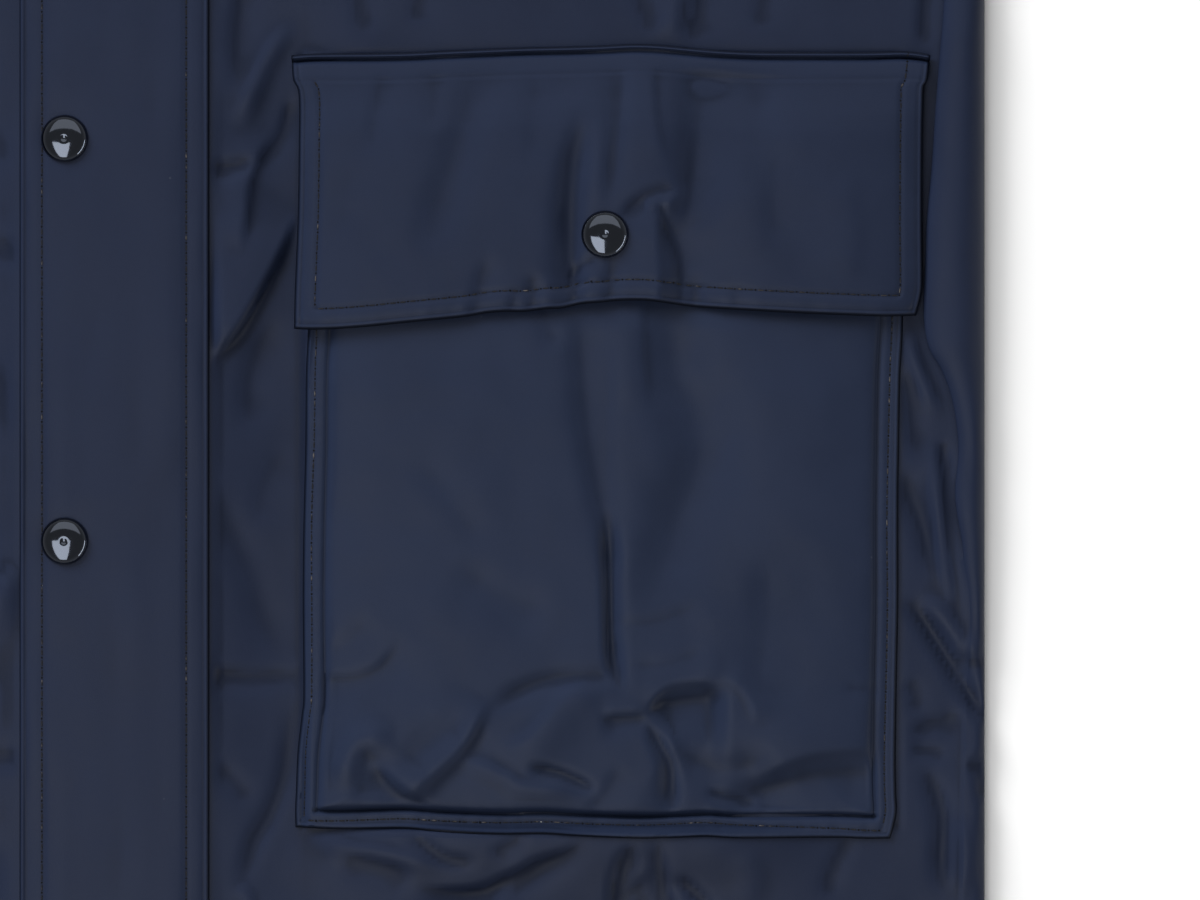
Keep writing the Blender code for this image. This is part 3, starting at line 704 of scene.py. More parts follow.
# %% Large folds and small creases, in the coat's own plan
COAT_FOLDS = (
    # left front
    (((218, 352), (190, 346), (150, 328), (116, 314)), 8.0, 12.0, 4.2),
    (((54, 462), (86, 446), (122, 424), (156, 396)), 14.0, 12.0, 4.4),
    (((90, -14), (93, 14), (98, 52)), 11.0, 9.0, 3.8),
    (((174, -12), (170, 14), (165, 46)), 9.0, 11.0, 3.2),
    (((196, 380), (168, 398), (132, 404), (98, 396)), 5.0, 8.0, -1.8),
    (((50, 520), (76, 500), (100, 470), (112, 436)), 5.0, 9.0, -1.7),
    (((40, 330), (62, 346), (96, 356), (130, 352)), 6.0, 8.0, -1.4),
    (((44, 300), (70, 306), (104, 304)), 5.0, 4.0, 1.1),
    (((150, 470), (164, 444), (186, 420)), 4.0, 7.0, 1.6),
    (((40, 420), (58, 404), (84, 392)), 5.0, 5.0, -1.0),
    (((60, 8), (64, 26), (60, 50)), 5.0, 4.0, -1.2),
    (((128, 4), (131, 24), (126, 44)), 6.0, 4.0, -1.3),
    (((204, 6), (206, 30), (212, 56)), 4.0, 5.0, -1.2),
    (((150, 58), (134, 50), (112, 48)), 3.0, 5.0, -0.8),
    (((78, 568), (88, 548), (104, 530)), 3.0, 5.0, 1.2),
    # right front
    (((-208, 353), (-174, 346), (-138, 338), (-102, 330)), 12.0, 9.0, 4.2),
    (((-68, 476), (-92, 446), (-120, 412), (-142, 384)), 12.0, 13.0, 3.8),
    (((-58, -12), (-62, 20), (-66, 58)), 9.0, 10.0, 3.0),
    (((-152, -12), (-150, 16), (-143, 50)), 12.0, 11.0, 4.0),
    (((-190, 392), (-160, 404), (-120, 400)), 8.0, 5.0, -1.7),
    (((-52, 516), (-70, 492), (-84, 452)), 7.0, 5.0, -1.5),
    (((-46, 372), (-70, 360), (-104, 362)), 6.0, 8.0, -1.4),
    (((-158, 478), (-170, 450), (-190, 430)), 6.0, 4.0, 1.4),
    (((-100, 6), (-104, 28), (-100, 52)), 5.0, 5.0, -1.4),
    (((-196, 6), (-192, 26), (-198, 50)), 5.0, 4.0, -1.2),
    (((-42, 302), (-80, 308), (-120, 300)), 4.0, 6.0, 1.1),
    (((-80, 566), (-94, 540), (-102, 520)), 5.0, 3.0, 1.1),
    # left sleeve
    (((264, 366), (256, 400), (244, 440), (230, 484)), 13.0, 15.0, 5.0),
    (((332, 316), (324, 350), (320, 390), (318, 434)), 12.0, 13.0, 5.0),
    (((406, 282), (398, 316), (384, 350), (370, 388)), 12.0, 11.0, 4.2),
    (((470, 256), (474, 292), (478, 336)), 10.0, 11.0, 3.2),
    (((292, 344), (296, 380), (284, 424)), 5.0, 8.0, -2.0),
    (((366, 300), (362, 336), (348, 372), (346, 404)), 7.0, 5.0, -2.1),
    (((438, 268), (432, 300), (424, 330)), 5.0, 7.0, -1.7),
    (((210, 410), (218, 444), (212, 486), (196, 520)), 7.0, 6.0, -1.8),
    (((300, 420), (272, 456), (236, 486)), 5.0, 8.0, 1.8),
    (((160, 506), (186, 524), (206, 516)), 5.0, 7.0, 1.5),
    (((500, 250), (508, 284), (520, 312)), 4.0, 5.0, 1.3),
    (((386, 262), (372, 282), (352, 294)), 4.0, 5.0, 1.4),
    # right sleeve
    (((-252, 362), (-250, 404), (-248, 446), (-244, 492)), 14.0, 14.0, 4.6),
    (((-316, 326), (-322, 356), (-332, 390), (-342, 424)), 13.0, 12.0, 4.8),
    (((-390, 286), (-392, 322), (-388, 360), (-384, 400)), 12.0, 12.0, 4.4),
    (((-464, 246), (-458, 280), (-452, 312), (-447, 344)), 10.0, 10.0, 3.4),
    (((-284, 348), (-292, 386), (-300, 420)), 7.0, 5.0, -2.0),
    (((-352, 302), (-360, 340), (-364, 380)), 5.0, 7.0, -2.0),
    (((-428, 270), (-424, 306), (-414, 342)), 6.0, 5.0, -1.7),
    (((-214, 420), (-208, 456), (-204, 500)), 6.0, 6.0, -1.7),
    (((-306, 436), (-276, 470), (-240, 500)), 7.0, 5.0, 1.7),
    (((-494, 240), (-506, 272), (-514, 304)), 4.0, 5.0, 1.4),
    (((-150, 500), (-176, 518), (-204, 514)), 6.0, 5.0, 1.4),
    # hood
    (((92, 632), (100, 672), (106, 716), (109, 766)), 9.0, 10.0, 2.4),
    (((-96, 652), (-101, 690), (-104, 748)), 10.0, 9.0, 2.5),
    (((60, 580), (74, 612), (84, 648)), 4.0, 6.0, -1.6),
    (((-56, 576), (-68, 604), (-82, 634)), 6.0, 4.0, -1.5),
    (((96, 800), (90, 832), (70, 858)), 5.0, 6.0, 1.5),
    (((-98, 790), (-94, 826), (-76, 860)), 6.0, 4.0, 1.6),
    (((104, 700), (88, 712), (80, 726)), 3.0, 5.0, -1.1),
    (((-110, 716), (-96, 722), (-84, 740)), 4.0, 3.0, -1.1),
)


def upside_down(creases, middle):
    """The same creases turned top to bottom about a height, for the other half of the coat."""
    return tuple(
        (tuple((x, 2 * middle - y) for x, y in path), right, left, rise)
        for path, left, right, rise in creases
    )


BESIDE_RIGHT_POCKET = upside_down(BESIDE_POCKET, -3.0)
ON_RIGHT_BAG = upside_down(ON_BAG, -26.0)
ON_RIGHT_FLAP = upside_down(ON_FLAP, 68.0)
print("folds of the coat:", len(COAT_FOLDS))

# %% [markdown]
# ## The top of the upper layer
# One function gives the top of the fronts, sleeves and hood at any place, so that a pocket or a stitch
# can lie on it. Cloth under a pocket or the storm flap is pressed flat, and its creases die out just
# beside the edge. No crease goes deeper than the layer under it allows.

# %% Height of the upper layer
STORM_HALF = 25.0
STORM_TOP = 514.0
PRESSED = (
    # left, right, low and high end of the storm flap and of each pocket
    (-STORM_HALF, STORM_HALF, -9.0, STORM_TOP),
    (52.0, 205.0, 74.0, 275.0),
    (-205.0, -52.0, 74.0, 275.0),
)
PRESS_FADE = 3.2
PRESSED_DOWN = 0.6
CREASE_DEPTH = 1.35
RIGHT_CREASE_DEPTH = 0.85 * CREASE_DEPTH
DEEPEST = 4.2


def free_share(x, y):
    """0 where a pocket or the storm flap presses the layer flat, 1 where it is free to fold."""
    share = np.ones_like(x)
    for left, right, low, high in PRESSED:
        outside = np.maximum.reduce([left - x, x - right, low - y, y - high])
        share = np.minimum(share, ease(outside / PRESS_FADE))
    return share


def upper_top(x, y):
    """The top of the upper layer at the points x, y of the coat's plan, in millimetres above the table."""
    creases = crease_height(x, y, COAT_FOLDS)
    creases += CREASE_DEPTH * crease_height(x, y, BESIDE_POCKET, POCKET)
    creases += RIGHT_CREASE_DEPTH * crease_height(-x, y, BESIDE_RIGHT_POCKET, POCKET)
    creases = np.where(creases < 0, DEEPEST * np.tanh(creases / DEEPEST), creases)
    soft = 0.42 * uneven(x, y, 34.0, 3.0) + 0.16 * uneven(x, y, 12.0, 8.0)
    return LAY + (creases + soft) * free_share(x, y)


# %% [markdown]
# ## Hems and seams
# A cut edge is turned under and sewn, so a hem is twice as thick as the cloth, with a round edge and a
# row of stitches that pulls it in. Where two pieces are joined, both dive into the seam and swell just
# beside it.

# %% Hem and seam profiles
HEM_DEPTH = 20.0
HEM_STITCH = 18.0
SEAM_STITCH = 6.0
RAGLAN_RUN = unit(np.array([NECK_SIDE[0] - HALF_WIDTH, NECK_SIDE[1] - UNDERARM_Y]))


def hem_height(inside, depth=HEM_DEPTH, stitch=HEM_STITCH, thick=0.55):
    """Height of a turned hem, from the distance inside its edge."""
    round_edge = ridge(inside, 0.0, 0.55, -0.7)
    double = thick * ease((depth + 1.0 - inside) / 2.0)
    pulled = ridge(inside, stitch, 0.9, -0.32)
    lip = ridge(inside, 1.0, 0.7, 0.10)
    return round_edge + double + pulled + lip


def seam_height(inside):
    """Height of a joined seam, from the distance inside it."""
    dive = ridge(inside, 0.0, 1.0, -1.0)
    swell = ridge(inside, 3.0, 1.8, 0.35)
    pulled = ridge(inside, SEAM_STITCH, 0.8, -0.22)
    return dive + swell + pulled


def inside_raglan(x, y):
    """How far a point of the left half lies inside the raglan seam, towards the body."""
    return (HALF_WIDTH - x) * RAGLAN_RUN[1] + (y - UNDERARM_Y) * RAGLAN_RUN[0]


# %% [markdown]
# ## Laying a piece of cloth
# A piece is drawn as its outer face only. The inner face lies one thickness behind it, along the normals
# of the lattice.


# %% Lay a piece of cloth
def lattice_normals(skin, upward):
    """Unit normals of a lattice. They point up (1) or down (-1) over the first third of its columns."""
    normals = np.cross(np.gradient(skin, axis=1), np.gradient(skin, axis=0))
    normals /= np.maximum(np.linalg.norm(normals, axis=-1, keepdims=True), 1e-9)
    first_third = normals[:, : normals.shape[1] // 3, 2].mean()
    return normals * (upward if first_third > 0 else -upward)


def lay_cloth(node, skin, finish, thickness=CLOTH, upward=1):
    """Make a piece of cloth over its solid, which it stands for and hides."""
    backing = skin - thickness * lattice_normals(skin, upward)
    piece = shell(f"{node}_cloth", skin, backing, (finish, KNIT))
    join_frame(piece, node)
    return piece


# %% [markdown]
# ## The fronts
# Each front runs straight up to the underarm and then in along the raglan seam. Along its side the coat
# is rolled over, and beside the left pocket that roll is thick and hangs over the cloth next to it. So
# the lattice follows the roll: its lines start under the overhang, go over the crest, and end at the side
# seam.

# %% The roll along each side, and the lattice of each front
LEFT_ROLL = (
    # height, reach, crest
    (0, 3.4, 1.2), (40, 3.3, 1.1), (84, 3.0, 0.9), (112, 2.5, 0.9), (124, 2.1, 1.1), (134, 2.3, 1.6),
    (142, 2.8, 2.1), (148, 3.1, 2.5), (156, 3.8, 3.0), (162, 4.0, 3.1), (170, 3.6, 3.0), (177, 3.7, 3.1),
    (186, 4.5, 3.5), (193, 5.8, 4.1), (199, 7.5, 4.8), (208, 8.2, 5.2), (220, 8.0, 5.4), (232, 7.8, 5.5),
    (247, 7.1, 5.3), (262, 6.6, 5.1), (277, 6.0, 4.9), (290, 5.5, 4.5), (310, 5.0, 3.5), (335, 4.2, 2.1),
    (355, 3.4, 1.2),
)
RIGHT_ROLL = (
    (0, 3.4, 1.2), (50, 3.8, 1.8), (96, 5.4, 3.0), (132, 4.4, 2.4), (170, 4.8, 2.8), (214, 6.2, 3.6),
    (252, 5.0, 2.9), (300, 4.2, 2.0), (355, 3.4, 1.2),
)
PLACKET = 27.0
ROLL_FADE = 16.0
STRIP_START = 196.0
STRIP_LINES = 21
ROLL_LINES = 9
FRONTS = (
    # side, name, columns, rows up to the underarm, rows above it, roll
    (1, "left",
     runs((0.15, 25.0, 6.0), (25.0, 50.0, 1.05), (50.0, STRIP_START, 1.7)),
     runs((0.0, 2.0, 0.5), (2.0, 16.0, 2.8), (16.0, 21.0, 0.8), (21.0, 50.0, 2.4), (50.0, 76.0, 1.05),
          (76.0, 272.0, 1.45), (272.0, 296.0, 1.1), (296.0, 355.0, 3.2)),
     np.linspace(0, 1, 66)[1:], LEFT_ROLL),
    (-1, "right",
     runs((0.15, 25.0, 8.0), (25.0, 50.0, 2.0), (50.0, STRIP_START, 3.1)),
     runs((0.0, 2.0, 0.5), (2.0, 16.0, 2.8), (16.0, 21.0, 0.8), (21.0, 50.0, 2.8), (50.0, 355.0, 2.5)),
     np.linspace(0, 1, 64)[1:], RIGHT_ROLL),
)


def body_rows(low_rows, yoke_rows):
    """The height of each row, which stops at the underarm, and its share of the way on to the neck."""
    height = np.concatenate([low_rows, np.full(len(yoke_rows), UNDERARM_Y)])[:, None]
    share = np.concatenate([np.zeros(len(low_rows)), yoke_rows])[:, None]
    return height, share, ease(1 - share * RAGLAN_LENGTH / ROLL_FADE)


def body_plan(across, height, share, neck_y):
    """The plan of the body: straight up to the underarm, then in along the raglan seam to the neck."""
    narrowing = (NECK_SIDE[0] - PLACKET) / (HALF_WIDTH - PLACKET)
    narrowed = np.sign(across) * (PLACKET + (np.abs(across) - PLACKET) * narrowing)
    top_x = np.where(np.abs(across) > PLACKET, narrowed, across)
    top_y = neck_y + (NECK_SIDE[1] - neck_y) * np.abs(top_x) / NECK_SIDE[0]
    return across + (top_x - across) * share, height + (top_y - UNDERARM_Y) * share


# %% The outer face of a front
def roll_section(reach, crest):
    """The plan and height of the roll, from under its overhang, over its crest, to the side seam."""
    centre = HALF_WIDTH - reach
    half_height = 0.6 * crest
    axis = LAY + crest - half_height
    hang = np.radians(60 + 66 * ease((crest - 1.5) / 1.6))
    inner = hang * np.linspace(1, 0, ROLL_LINES)
    outer = np.radians(90) * np.linspace(0, 1, ROLL_LINES)[1:]
    middle = (ROLL_TOP + SEAM) / 2
    roll_x = np.hstack([centre - reach * np.sin(inner), centre + reach * np.sin(outer)])
    roll_z = np.hstack([axis + half_height * np.cos(inner), middle + (LAY + crest - middle) * np.cos(outer)])
    return roll_x, roll_z


def front_skin(side, columns, low_rows, yoke_rows, roll_table):
    """The outer face of one front, as a lattice from the centre front to the side and from the hem up."""
    height, share, rolled = body_rows(low_rows, yoke_rows)
    table = through(roll_table, 6)
    reach = np.interp(height, table[:, 0], table[:, 1])
    crest = np.interp(height, table[:, 0], table[:, 2])
    roll_x, roll_z = roll_section(reach, crest)
    rolls = roll_x.shape[1]
    place = np.linspace(0, 1, rolls)
    roll_x = rolled * roll_x + (1 - rolled) * (HALF_WIDTH - 2 * reach * (1 - place))
    foot = roll_x[:, :1]
    strip = STRIP_START + (foot - STRIP_START) * np.linspace(0, 1, STRIP_LINES + 1)[1:-1]
    across = np.hstack([np.tile(columns, (len(height), 1)), strip, roll_x])
    x, y = body_plan(across, height, share, FRONT_NECK_Y)
    top = upper_top(side * x, y)
    foot_z = rolled * roll_z[:, :1] + (1 - rolled) * (LAY + 0.2)
    near_foot = ease(1 - (foot - across) / 5.0) * rolled
    z = top + (foot_z - top) * near_foot * ease((crest - 0.6) / 0.8)
    soft = top[:, -rolls:] - LAY
    low_roll = 1 - ease((crest - 1.0) / 1.6)
    fade_out = np.cos(np.radians(90) * np.clip(place * 2 - 1, 0, 1))
    wobble = 0.5 * uneven(x[:, -rolls:], y[:, -rolls:], 16.0, 21.0) * np.sin(np.pi * place)
    rolled_z = roll_z + (soft * low_roll + wobble) * fade_out
    flat_z = top[:, -rolls:] + (ROLL_TOP - LAY) * place
    z[:, -rolls:] = rolled * rolled_z + (1 - rolled) * flat_z
    z -= PRESSED_DOWN * (1 - free_share(side * x, y)) * (x > STORM_HALF + 4.0)
    z += seam_height(inside_raglan(x, y)) * ease(share * RAGLAN_LENGTH / 12.0)
    z += hem_height(y) * ease((across - 1.0) / 3.0) * ease((HALF_WIDTH - across) / 4.0)
    return np.dstack([side * x, y, z])


# %% Lay the fronts
fronts = {}
for side, word, *lattice in FRONTS:
    fronts[side] = lay_cloth(f"front_{word}", front_skin(side, *lattice), BODY_CLOTH)

# %% [markdown]
# ## The back
# The back is one piece. It lies flat on the table with its outer side down, and its sides roll up to the
# side seams. Only its inner side shows, inside the neck.

# %% Lay the back
BACK_ROLL_LINES = 7
BACK_COLUMNS = 64
BACK_YOKE_ROWS = 36


def back_skin():
    """The outer face of the back, which lies on the table."""
    flat = HALF_WIDTH - ROLL_REACH
    columns = np.linspace(-flat, flat, BACK_COLUMNS)
    low_rows = runs((0.0, 3.0, 0.7), (3.0, 16.0, 4.0), (16.0, 21.0, 1.2), (21.0, UNDERARM_Y, 8.0))
    height, share, rolled = body_rows(low_rows, np.linspace(0, 1, BACK_YOKE_ROWS)[1:])
    angles = np.radians(90) * np.linspace(0, 1, BACK_ROLL_LINES)[1:]
    turn = flat + ROLL_REACH * np.sin(angles)
    across = np.tile(np.concatenate([-turn[::-1], columns, turn]), (len(height), 1))
    x, y = body_plan(across, height, share, BACK_NECK_Y)
    middle = (ROLL_TOP - SEAM) / 2
    lift = middle - middle * np.cos(angles)
    z = np.tile(np.concatenate([lift[::-1], np.zeros(len(columns)), lift]), (len(height), 1)) * rolled
    soft = 0.5 + 0.5 * uneven(x, y, 45.0, 5.0)
    return np.dstack([x, y, z + 0.4 * soft * ease((flat - np.abs(across)) / 20.0)])


lay_cloth("back", back_skin(), BODY_CLOTH, upward=-1)

# %% [markdown]
# ## The sleeves
# A raglan sleeve runs from the seam to the cuff. Its upper half lies on its lower half and both are
# rolled towards each other, so each half is ruled from the overarm edge to the underarm edge.

# %% Sleeve outlines
CUFF_OUTER = np.array([546.6, 313.7])
CUFF_INNER = np.array([480.6, 219.5])
SHOULDER_BOW = 26.0
UNDERARM_BOW = 8.0
SLEEVE_REACH = 5.0


def square_to(run):
    """The unit vector to the left of a run."""
    return unit(np.array([-run[1], run[0]]))


def sleeve_edges(share):
    """The overarm and underarm edges, a share of the way from the raglan seam to the cuff."""
    clear = np.array([RAGLAN_RUN[1], -RAGLAN_RUN[0]]) * SEAM
    neck, underarm = np.array(NECK_SIDE) + clear, np.array([HALF_WIDTH, UNDERARM_Y]) + clear
    over_run, under_run = CUFF_OUTER - NECK_SIDE, CUFF_INNER - (HALF_WIDTH, UNDERARM_Y)
    over = neck + over_run * share + square_to(over_run) * SHOULDER_BOW * np.sin(np.pi * np.sqrt(share))
    under = underarm + under_run * share + square_to(under_run) * UNDERARM_BOW * np.sin(np.pi * share)
    return over, under


# %% The outer face of half a sleeve
def sleeve_skin(side, stations, across_lines, roll_lines, lower):
    """The outer face of half a sleeve: rows along the sleeve, columns from the overarm to the underarm."""
    share = stations[:, None]
    over, under = sleeve_edges(share)
    width = np.linalg.norm(under - over, axis=1)[:, None]
    reach = ROLL_REACH if lower else SLEEVE_REACH
    angles = np.radians(90) * np.linspace(1, 0, roll_lines)
    turn = np.tile(reach * (1 - np.sin(angles)), (len(stations), 1))
    middle = reach + (width - 2 * reach) * np.linspace(0, 1, across_lines + 2)[1:-1]
    place = np.hstack([turn, middle, width - turn[:, ::-1]])
    x = over[:, :1] + (under - over)[:, :1] * place / width
    y = over[:, 1:] + (under - over)[:, 1:] * place / width
    edge = np.minimum(place, width - place)
    round_share = np.sqrt(np.clip(1 - (1 - np.minimum(edge, reach) / reach) ** 2, 0, 1))
    if lower:
        return np.dstack([side * x, y, (ROLL_TOP - SEAM) / 2 * (1 - round_share)])
    half = (ROLL_TOP + SEAM) / 2
    top = upper_top(side * x, y) + ridge(edge, reach, 9.0, ROLL_TOP + 0.5 - LAY)
    top += seam_height(-inside_raglan(x, y)) * ease(edge / 8.0)
    top += hem_height((1 - share) * OVERARM_LENGTH) * ease(edge / 6.0)
    return np.dstack([side * x, y, half + (top - half) * round_share])


# %% Lay the sleeves
UPPER_STATIONS = runs((0.0, 0.02, 0.0022), (0.02, 0.95, 0.0078), (0.95, 1.0, 0.0028))
LOWER_STATIONS = np.linspace(0, 1, 60)
sleeves = {}
for side, word in SIDES:
    lay_cloth(f"sleeve_{word}_back", sleeve_skin(side, LOWER_STATIONS, 14, 6, True), BODY_CLOTH,
              upward=-1)
    sleeves[side] = lay_cloth(f"sleeve_{word}_front", sleeve_skin(side, UPPER_STATIONS, 32, 8, False),
                              BODY_CLOTH)

# %% [markdown]
# ## The hood
# Each half of the hood goes from the face opening out over the upper layer, round the outer fold, and
# back under to the centre seam. The opening shows the knitted wrong side. The sheet is rounded through
# nine stations.

# %% Hood stations
HOOD_STATIONS = (
    # fold x, fold y, face x, face y, back y
    (92.0, 598.3, 12.0, 530.5, 585.3),
    (112.0, 628.0, 36.0, 556.0, 612.0),
    (124.0, 670.0, 60.0, 600.0, 648.0),
    (129.0, 725.0, 76.0, 665.0, 696.0),
    (125.0, 785.0, 79.0, 735.0, 750.0),
    (109.0, 840.0, 68.0, 795.0, 805.0),
    (80.0, 880.0, 44.0, 836.0, 850.0),
    (42.0, 900.0, 20.0, 855.0, 874.0),
    (0.15, 906.0, 0.15, 861.0, 884.0),
)
FACE_LIFT = 2.6
HOOD_HEM = 24.0
HOOD_STITCH = 21.0
FACE_LINES = runs((0.0, 2.4, 0.48), (2.4, 18.0, 2.2), (18.0, 26.0, 1.0))
NECK_TO_CROWN = 330.0
CROWN_SEAM_RUN = 70.0


# %% Lay the hood
def hood_skin(side):
    """The outer face of half the hood: rows from neck to crown, columns from the face to the back seam."""
    rows = through(HOOD_STATIONS, 12)
    fold, face = rows[:, None, 0:2], rows[:, None, 2:4]
    seam = np.dstack([np.full((len(rows), 1), SEAM / 2), rows[:, 4:5]])
    front_out, back_out = unit(fold - face), unit(fold - seam)
    front_end, back_start = fold - front_out * ROLL_REACH, fold - back_out * ROLL_REACH
    band = np.linalg.norm(front_end - face, axis=-1)
    rest = np.linspace(0, 1, 22)[1:-1]
    near = FACE_LINES[-1]
    front = np.hstack([np.tile(FACE_LINES, (len(rows), 1)), near + (band - near) * rest])
    front_spots = face + front_out * front[..., None]
    turn = np.radians(np.linspace(0, 180, 17))
    mixed = unit(front_out + (back_out - front_out) * ease(turn / np.pi)[None, :, None])
    turn_spots = fold - mixed * ROLL_REACH + mixed * ROLL_REACH * np.sin(turn)[None, :, None]
    back_place = np.linspace(0, 1, 30)[1:]
    back_spots = back_start + (seam - back_start) * back_place[None, :, None]
    plan = np.concatenate([front_spots, turn_spots, back_spots], axis=1)
    share = front / band
    climb = np.linspace(0, 1, len(rows))[:, None]
    lift = FACE_LIFT * (1 - share) * np.sin(np.pi * np.minimum(1.0, 0.08 + climb))
    front_z = upper_top(side * front_spots[..., 0], front_spots[..., 1]) + lift + (ROLL_TOP - LAY) * share
    front_z += hem_height(front, HOOD_HEM, HOOD_STITCH, 0.6)
    front_z += seam_height(climb * NECK_TO_CROWN) + seam_height((1 - climb) * CROWN_SEAM_RUN)
    half = ROLL_TOP / 2
    turn_z = np.tile(half + half * np.cos(turn), (len(rows), 1))
    turn_z += (front_z[:, -1:] - ROLL_TOP) * ease(1 - turn / np.pi * 2.5)
    back_x, back_y = back_spots[..., 0], back_spots[..., 1]
    waves = 0.9 * (0.5 + 0.5 * uneven(side * back_x, back_y, 38.0, 13.0)) * np.sin(np.pi * back_place) ** 0.5
    return np.dstack([side * plan[..., 0], plan[..., 1], np.hstack([front_z, turn_z, waves])])


hoods = {}
for side, word in SIDES:
    hoods[side] = lay_cloth(f"hood_{word}", hood_skin(side), BODY_CLOTH)

# %% [markdown]
# ## The storm flap
# The storm flap covers the opening at the centre front. It is a strip folded double, so both long edges
# are round, and a row of stitches runs inside each of them. Each snap pulls a shallow hollow into it.

# %% Profiles of folded and stitched edges
STORM_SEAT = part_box("storm_flap")[1].z / MM
STORM_STITCH = 6.0
STORM_THICKNESS = 0.9
SNAP_HOLLOW = 8.5
FRONT_SNAPS = [f"snap_front_{number}" for number in range(1, 6)]
STORM_SNAP_X = sum(corner.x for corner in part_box(FRONT_SNAPS[0])) / 2 / MM
STORM_SNAPS = [sum(corner.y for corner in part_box(node)) / 2 / MM - HEM for node in FRONT_SNAPS]


def folded_edge(inside, thick=1.1):
    """Height of a folded edge: round at the fold, with a faint line where the inner layer ends."""
    round_fold = -thick * np.clip(1 - np.clip(inside, 0, 1) / 0.75, 0, 1) ** 2
    bead = ridge(inside, 0.8, 0.5, 0.16)
    line = ridge(inside, 1.55, 0.38, -0.24)
    return round_fold + bead + line


def stitch_groove(inside, line, depth=0.28, width=0.75):
    """The furrow that a row of stitches pulls into the cloth."""
    return ridge(inside, line, width, -depth)


# %% Lay the storm flap
def storm_skin():
    """The outer face of the storm flap."""
    border = np.concatenate([[0, 0.3, 0.6, 1.0, 1.4, 1.8, 2.4], np.arange(3.4, 8.0, 0.9)])
    columns = np.concatenate([border - STORM_HALF, np.linspace(-16.6, 16.6, 22), STORM_HALF - border[::-1]])
    rows = runs((0.0, 2.0, 0.4), (2.0, 50.0, 3.4), (50.0, 292.0, 2.0), (292.0, STORM_TOP - 3.0, 3.4),
                (STORM_TOP - 3.0, STORM_TOP, 0.5))
    x, y = np.meshgrid(columns, rows)
    inside = STORM_HALF - np.abs(x)
    ends = np.minimum(y, STORM_TOP - y)
    z = STORM_SEAT - 0.9 + 0.9 * ease(inside / 12.0)
    z += folded_edge(inside) + stitch_groove(inside, STORM_STITCH)
    z += folded_edge(ends) * ease(inside / 1.0)
    z += stitch_groove(ends, STORM_STITCH) * ease((inside - 5.0) / 1.0)
    z += (0.35 * uneven(x, y, 26.0, 17.0) + 0.3 * uneven(x, 0.35 * y, 9.0, 19.0)) * ease(inside / 3.0)
    for snap_y in STORM_SNAPS:
        z += ridge(np.hypot(x - STORM_SNAP_X, y - snap_y), 0.0, SNAP_HOLLOW, -0.7)
    return np.dstack([x, y, z])


storm_flap = lay_cloth("storm_flap", storm_skin(), BODY_CLOTH,
                       thickness=STORM_THICKNESS)

# %% [markdown]
# ## The patch pocket
# The bag is sewn on along three sides. Its turned edge lies flat with a row of stitches, and inside it
# the bag swells over the seam allowance. At the foot it swells most, and casts a dark line. The sides are
# softer.

# %% Outlines of the pocket bag, from the pocket's middle
BAG_LEFT = edge_of(((-99.2, -80.4), (-95, -80.5), (-90, -80.3), (-80, -79.9), (-70, -78.8), (-64, -78.3),
                    (-40, -78.5), (-20, -78.3), (0, -77.8), (20, -77.6), (33, -77.0), (60, -76.8),
                    (90, -76.6)))
BAG_RIGHT = edge_of(((-102.5, 76.5), (-99, 77.5), (-95, 78.2), (-90, 78.0), (-80, 77.9), (-60, 78.2),
                     (-40, 78.6), (-20, 78.6), (0, 78.8), (20, 79.2), (35, 79.9), (60, 80.0), (90, 79.5)))
BAG_FOOT = edge_of(((-81, -99.5), (-70, -100.0), (-53, -99.7), (-45, -100.2), (-35, -100.8),
                    (-25, -101.1), (-15, -101.0), (-5, -101.6), (10, -102.2), (20, -102.0), (28, -101.7),
                    (37, -102.2), (60, -102.2), (70, -102.5), (79, -102.4)))
BAG_HEAD = 90.0
BAG_STITCH_LEFT = 2.4
BAG_STITCH_RIGHT = 2.9
BAG_STITCH_FOOT = edge_of(((-82, 2.1), (-40, 2.7), (0, 3.2), (30, 3.5), (60, 2.6), (80, 2.0)))
BAG_LINE_SIDE = 6.1
BAG_LINE_FOOT = edge_of(((-82, 5.2), (-30, 5.6), (30, 6.1), (80, 6.3)))
BAG_PUFF = 3.1
SIDE_STEP = 0.32
FOOT_STEP = 0.55
UNDER_FLAP_Y = 31.0
MOUTH_FALL = 0.88
BAG_THICKNESS = 0.8


# %% Height of the pocket bag
def puckers(along, seed):
    """Small puckers along a sewn edge, one every six millimetres or so."""
    return uneven(along, np.full_like(along, seed), 3.4, seed)


